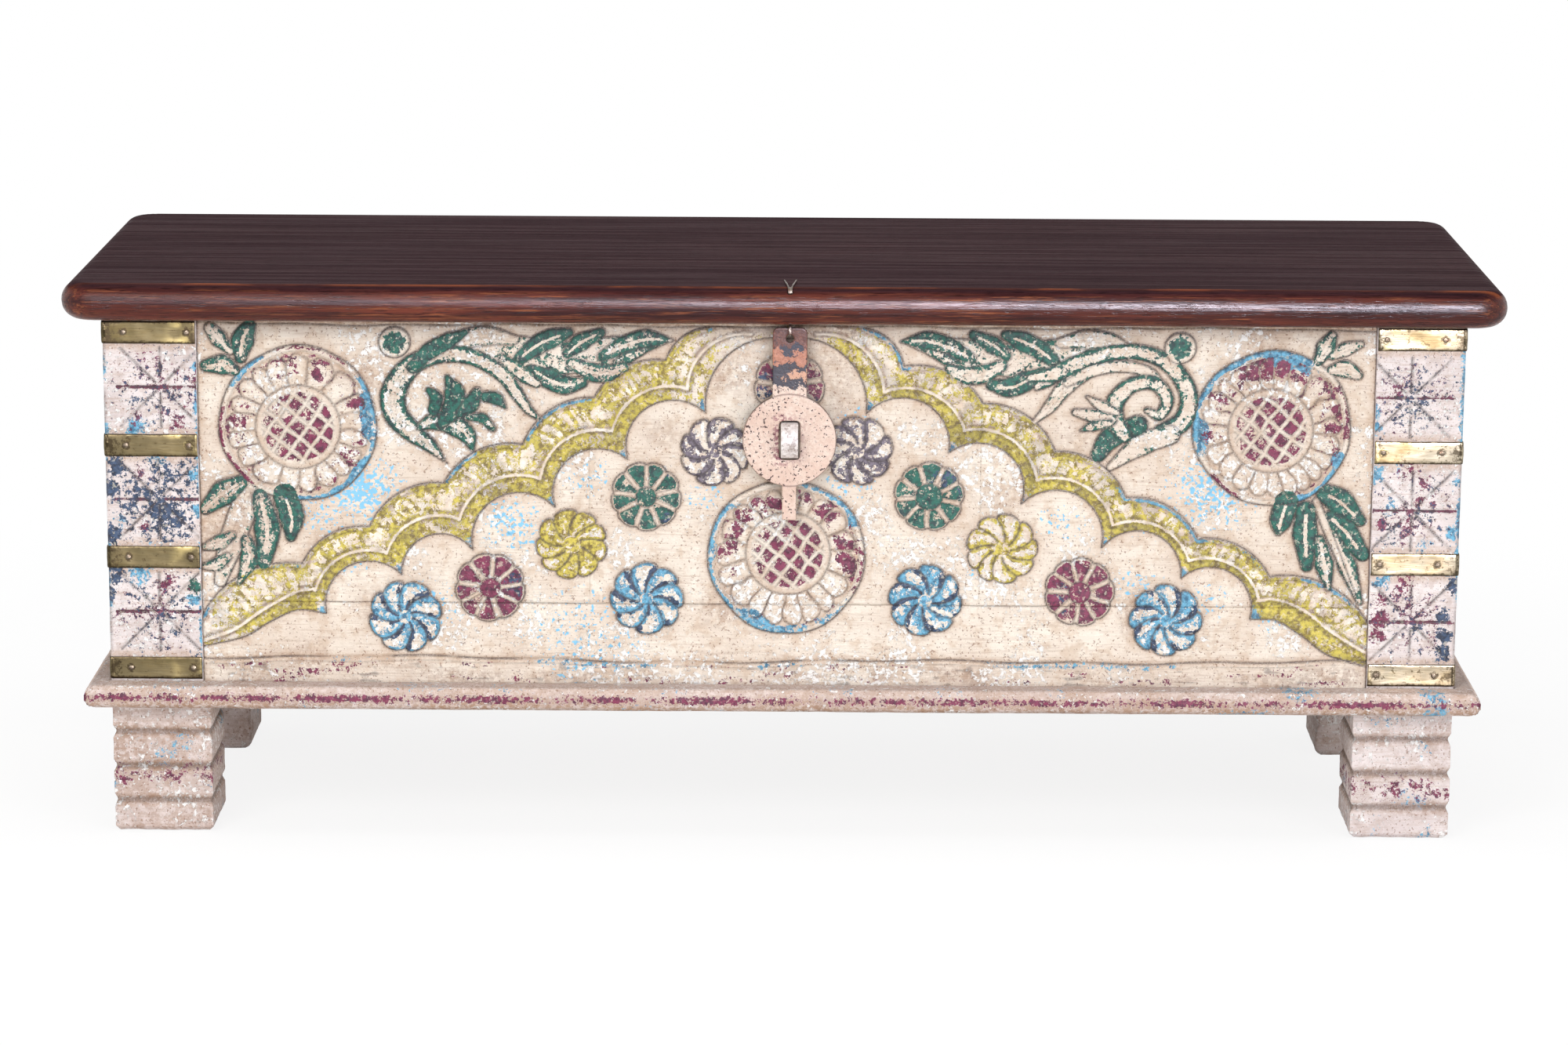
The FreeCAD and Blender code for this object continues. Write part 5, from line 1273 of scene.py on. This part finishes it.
for side, hand in ((-1, "left"), (1, "right")):
    dressed = [
        (f"front_{hand}_post", f"painted_front_{hand}_post", 1.25, 0.6, post_layers(side)),
        (f"back_{hand}_post", f"painted_back_{hand}_post", 2.5, 0.6, board_layers),
        (f"base_moulding_{hand}", f"painted_moulding_{hand}", 1.8, 0.4, moulding_layers),
    ]
    for node, name, voxel, depth, layers in dressed:
        worn(node, name, voxel, "chest", POST_PAINT, depth, layers)
BOARD_SLOTS = {
    "left_side_board": "painted_wood", "right_side_board": "painted_wood", "back_board": "plain_wood",
}
for node, slot in BOARD_SLOTS.items():
    for level in ("lower", "upper"):
        name = f"painted_{node}_{level}"
        worn(f"{node}_{level}", name, 3.0, "chest", PAINTED, 0.9, board_layers)
for place, voxel in (("front", 1.5), ("back", 2.2)):
    worn(f"base_moulding_{place}", f"painted_moulding_{place}", voxel, "chest", POST_PAINT,
         0.4, moulding_layers)


# Brass straps and their nails

STRAP_HALF, STRAP_THICK = 9.3, 0.8
STRAP_INNER_END = {-1: 474, 1: 478}
POST_FACE, POST_SIDE, CORNER_ROUND = -170.0, 549.0, 1.6
SIDE_END = -110
OUTER_NAIL, INNER_NAIL, SIDE_NAILS = 532, {-1: 481, 1: 485}, (-153, -117)
NAIL_RADIUS, NAIL_HEIGHT, NAIL_OUT = 2.4, 1.3, 0.6
RUN_STEP = 1.65


def strap_path(side):
    """The strap's way round the corner, seen from above: places and outward directions."""
    turning = POST_SIDE - CORNER_ROUND
    front = [(across, POST_FACE, 0.0, -1.0) for across in np.linspace(STRAP_INNER_END[side], turning, 46)]
    corner = []
    for turn in np.linspace(0, math.pi / 2, 6):
        out, ahead = math.sin(turn), -math.cos(turn)
        corner.append((turning + CORNER_ROUND * out, POST_FACE + CORNER_ROUND * (1 + ahead), out, ahead))
    flank = [(POST_SIDE, along, 1.0, 0.0) for along in np.linspace(-167, SIDE_END, 30)]
    path = np.array(front + corner + flank)
    path[:, [0, 2]] *= side
    return path


def strap_sheet(side, number, path, share):
    """One strap: how proud it stands, its level, its grime and its rubbed places."""
    run = np.arange(len(path)) * RUN_STEP
    along, share = np.meshgrid(run, share)
    up = share * 9
    off = np.abs(share)
    across = np.abs(path[:, 0])
    dent = 0.9 * (cloud(along, up, 17, 120 + number) - 0.5) + 0.25 * (cloud(along, up, 6, 130) - 0.5)
    proud = STRAP_THICK + np.clip(dent, -0.4, 0.25) * ease(1 - off, 0, 0.5)
    proud = proud * (1 - 0.35 * ease(off, 0.86, 1))
    waver = 0.45 * (cloud(along, share * 0 + number, 12, 140) - 0.5)
    z = STRAP_LEVELS[number] + share * (STRAP_HALF - 0.2) + waver * np.sign(share)
    nails = (OUTER_NAIL, INNER_NAIL[side])
    to_nail = [np.abs(np.hypot(across - nail, share * STRAP_HALF) - NAIL_RADIUS - 0.5) for nail in nails]
    grime = ease(off, 0.68, 1.0) * (0.35 + 0.75 * cloud(along, up, 14, 150 + number))
    grime = np.maximum(grime, 0.75 * ridge(np.minimum(*to_nail), 1.1))
    ends = np.maximum(ridge(run - 74, 11), ridge(run, 7))
    grime = np.maximum(grime, 0.62 * ends * (0.4 + 0.8 * cloud(along, up, 9, 170 + number)))
    rubbed = 0.9 * ridge(across - 486, 9) * ease(cloud(along, up, 8, 160 + number), 0.5, 0.8)
    return proud, z, grime, rubbed * (1 if number == 1 else 0.35)


def make_straps(side, hand, material):
    """Four dented straps as one piece."""
    points, faces, grimes, rubs = [], [], [], []
    path = strap_path(side)
    ups = np.linspace(-1, 1, 13)
    for number in range(len(STRAP_LEVELS)):
        start = len(points)
        proud, z, grime, rubbed = strap_sheet(side, number, path, ups)
        for lift in (proud, np.full(z.shape, 0.02)):
            grimes += grime.ravel().tolist()
            rubs += rubbed.ravel().tolist()
            x = path[:, 0] + path[:, 2] * lift
            y = path[:, 1] + path[:, 3] * lift
            points += np.stack([x, y, z], -1).reshape(-1, 3).tolist()
        outer, inner = start + np.arange(2 * z.size).reshape(2, *z.shape)
        sheets = [
            (outer[:-1, :-1], outer[:-1, 1:], outer[1:, 1:], outer[1:, :-1]),
            (inner[1:, :-1], inner[1:, 1:], inner[:-1, 1:], inner[:-1, :-1]),
            (inner[0, :-1], inner[0, 1:], outer[0, 1:], outer[0, :-1]),
            (outer[-1, :-1], outer[-1, 1:], inner[-1, 1:], inner[-1, :-1]),
            (inner[1:, 0], inner[:-1, 0], outer[:-1, 0], outer[1:, 0]),
            (inner[:-1, -1], inner[1:, -1], outer[1:, -1], outer[:-1, -1]),
        ]
        for sheet in sheets:
            faces += np.stack(sheet, -1).reshape(-1, 4).tolist()
    mesh = closed_mesh(f"{hand}_straps", points, faces)
    give_layers(mesh, {"line": np.array(grimes), "white": np.array(rubs)})
    piece = show(f"dented_{hand}_straps", mesh, "chest", [material])
    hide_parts(f"{hand}_corner_straps")


def dome(points, faces, centre, out, seed):
    """A hammered nail head."""
    start = len(points)
    out = Vector(out)
    across = out.orthogonal().normalized()
    over = out.cross(across)
    chance = np.random.default_rng(seed)
    around, rings = 20, 7
    for ring in range(rings):
        share = ring / (rings - 1) * math.pi / 2
        for step in range(around):
            turn = TAU * step / around
            reach = NAIL_RADIUS * math.sin(share) * (1 + 0.05 * math.sin(3 * turn + seed))
            rise = NAIL_HEIGHT * math.cos(share) ** 0.7 * (0.9 + 0.14 * chance.random())
            spot = Vector(centre) + across * reach * math.cos(turn)
            points.append(tuple(spot + over * reach * math.sin(turn) + out * rise))
    for ring in range(rings - 1):
        low = start + ring * around
        for step in range(around):
            a, b = low + step, low + (step + 1) % around
            faces.append((a, a + around, b + around, b))
    faces.append([start + (rings - 1) * around + step for step in range(around)][::-1])
    faces.append([start + step for step in range(around)])


def make_nails(side, hand):
    """The straps' nails as one piece."""
    points, faces = [], []
    for number, level in enumerate(STRAP_LEVELS):
        front = [(across * side, POST_FACE - NAIL_OUT, level) for across in (OUTER_NAIL, INNER_NAIL[side])]
        flank = [((POST_SIDE + NAIL_OUT) * side, along, level) for along in SIDE_NAILS]
        spots = [(centre, (0, -1, 0)) for centre in front] + [(centre, (side, 0, 0)) for centre in flank]
        for index, (centre, out) in enumerate(spots):
            dome(points, faces, centre, out, number * len(spots) + index)
    mesh = closed_mesh(f"{hand}_nails", points, faces)
    piece = show(f"hammered_{hand}_nails", mesh, "chest", [NAIL_METAL])
    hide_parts(f"{hand}_strap_nails")


# The left straps take the brass copy with painted shade, the right straps the copy with painted highlight.
for side, hand, material in ((-1, "left", BRASS_PAINTED_SHADE), (1, "right", BRASS_PAINTED_HIGHLIGHT)):
    make_straps(side, hand, material)
    make_nails(side, hand)


# Hasp, staple and split pin

worn("hasp", "painted_hasp", 0.8, "hasp_body", HASP_PAINT, 0.25)
worn("lock_staple", "forged_staple", 0.6, "chest", STAPLE_PAINT, 0.2, rounds=2)
worn("hasp_split_pin", "round_split_pin", 0.4, "lid", PIN_IRON, 0.8, rounds=6)


# Nodes that keep their own shape

PLAIN_NODES = [f"floor_board_{place}" for place in ("front", "middle_front", "middle_back", "back")]
PLAIN_NODES += [f"floor_bearer_{place}" for place in ("front", "back", "left", "right")]
PLAIN_NODES += [f"lid_batten_{place}" for place in ("left", "middle", "right")]
HINGE_PARTS = ("body_leaf", "lid_leaf", "pin")
HINGE_NODES = [f"{hand}_hinge_{part}" for part in HINGE_PARTS for hand in ("left", "right")]
KEPT = {
    PLAIN: PLAIN_NODES,
    LID_WOOD: ["lid_board"],
    DARK_IRON: HINGE_NODES + ["hinge_nails_body", "hinge_nails_lid", "batten_nails"],
}
for material, names in KEPT.items():
    for name in names:
        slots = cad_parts[name].data.materials
        slots.clear()
        slots.append(material)


# Stage

def make_stage():
    """A pale floor that stays white far away and keeps the chest's shadow."""
    f = Finish("floor", roughness=0.9, specular=0.1)
    f.shader.inputs["Base Color"].default_value = rgb(244, 244, 244)
    glow = f.add("ShaderNodeEmission", {"Color": (1, 1, 1, 1), "Strength": 1.0}).outputs[0]
    rays = f.add("ShaderNodeLightPath", {}).outputs
    seen = f.math("MAXIMUM", rays["Is Camera Ray"], rays["Is Glossy Ray"])
    span = f.add("ShaderNodeVectorMath", {0: f.place}, operation="LENGTH").outputs["Value"]
    share = seen * f.step(span, 0.6, 1.3, 0.86, 1.0)
    mixed = f.add("ShaderNodeMixShader", {0: share, 1: f.shader.outputs[0], 2: glow}).outputs[0]
    f.links.new(mixed, f.nodes["Material Output"].inputs["Surface"])
    mesh = bpy.data.meshes.new("floor")
    reach = 14.0
    corners = [(-reach, -reach, 0), (reach, -reach, 0), (reach, reach, 0), (-reach, reach, 0)]
    mesh.from_pydata(corners, [], [(0, 1, 2, 3)])
    mesh.materials.append(f.material)
    floor = bpy.data.objects.new("floor", mesh)
    bpy.context.scene.collection.objects.link(floor)


def make_lamp(name, place, aim, size, power, colour=(1, 1, 1), only_shine=False):
    """A soft square lamp, or one that is seen only as a shine on smooth surfaces."""
    data = bpy.data.lights.new(name, "AREA")
    data.shape = "RECTANGLE"
    data.size, data.size_y = size
    data.energy = power
    data.color = colour
    lamp = bpy.data.objects.new(name, data)
    lamp.location = place
    lamp.rotation_euler = (Vector(aim) - Vector(place)).to_track_quat("-Z", "Y").to_euler()
    lamp.visible_diffuse = not only_shine
    bpy.context.scene.collection.objects.link(lamp)


def make_world():
    """White where it is seen or mirrored, and a weaker fill elsewhere."""
    world = bpy.data.worlds.new("white_room")
    bpy.context.scene.world = world
    world.use_nodes = True
    nodes, links = world.node_tree.nodes, world.node_tree.links
    background = nodes["Background"]
    background.inputs["Color"].default_value = (1, 1, 1, 1)
    rays = nodes.new("ShaderNodeLightPath").outputs
    seen = rays["Is Camera Ray"]
    for kind in ("Is Glossy Ray", "Is Transmission Ray"):
        either = nodes.new("ShaderNodeMath")
        either.operation = "MAXIMUM"
        links.new(seen, either.inputs[0])
        links.new(rays[kind], either.inputs[1])
        seen = either.outputs[0]
    strength = nodes.new("ShaderNodeMapRange")
    links.new(seen, strength.inputs["Value"])
    strength.inputs["To Min"].default_value = 0.5
    strength.inputs["To Max"].default_value = 1.0
    links.new(strength.outputs["Result"], background.inputs["Strength"])


make_stage()
make_world()
make_lamp("key", (-1.6, -3.0, 2.6), (0, 0, 0.25), (1.6, 1.2), 70)
make_lamp("fill", (2.2, -2.8, 1.6), (0, 0, 0.25), (1.6, 1.2), 35)
make_lamp("top", (0, -0.4, 2.8), (0, 0, 0.4), (2.4, 1.0), 30)
make_lamp("shine", (0.8, -3.2, 1.34), (0.3, -0.2, 0.44), (1.5, 0.36), 540, (0.87, 0.86, 1.0), only_shine=True)

bpy.context.scene.view_settings.view_transform = "Standard"
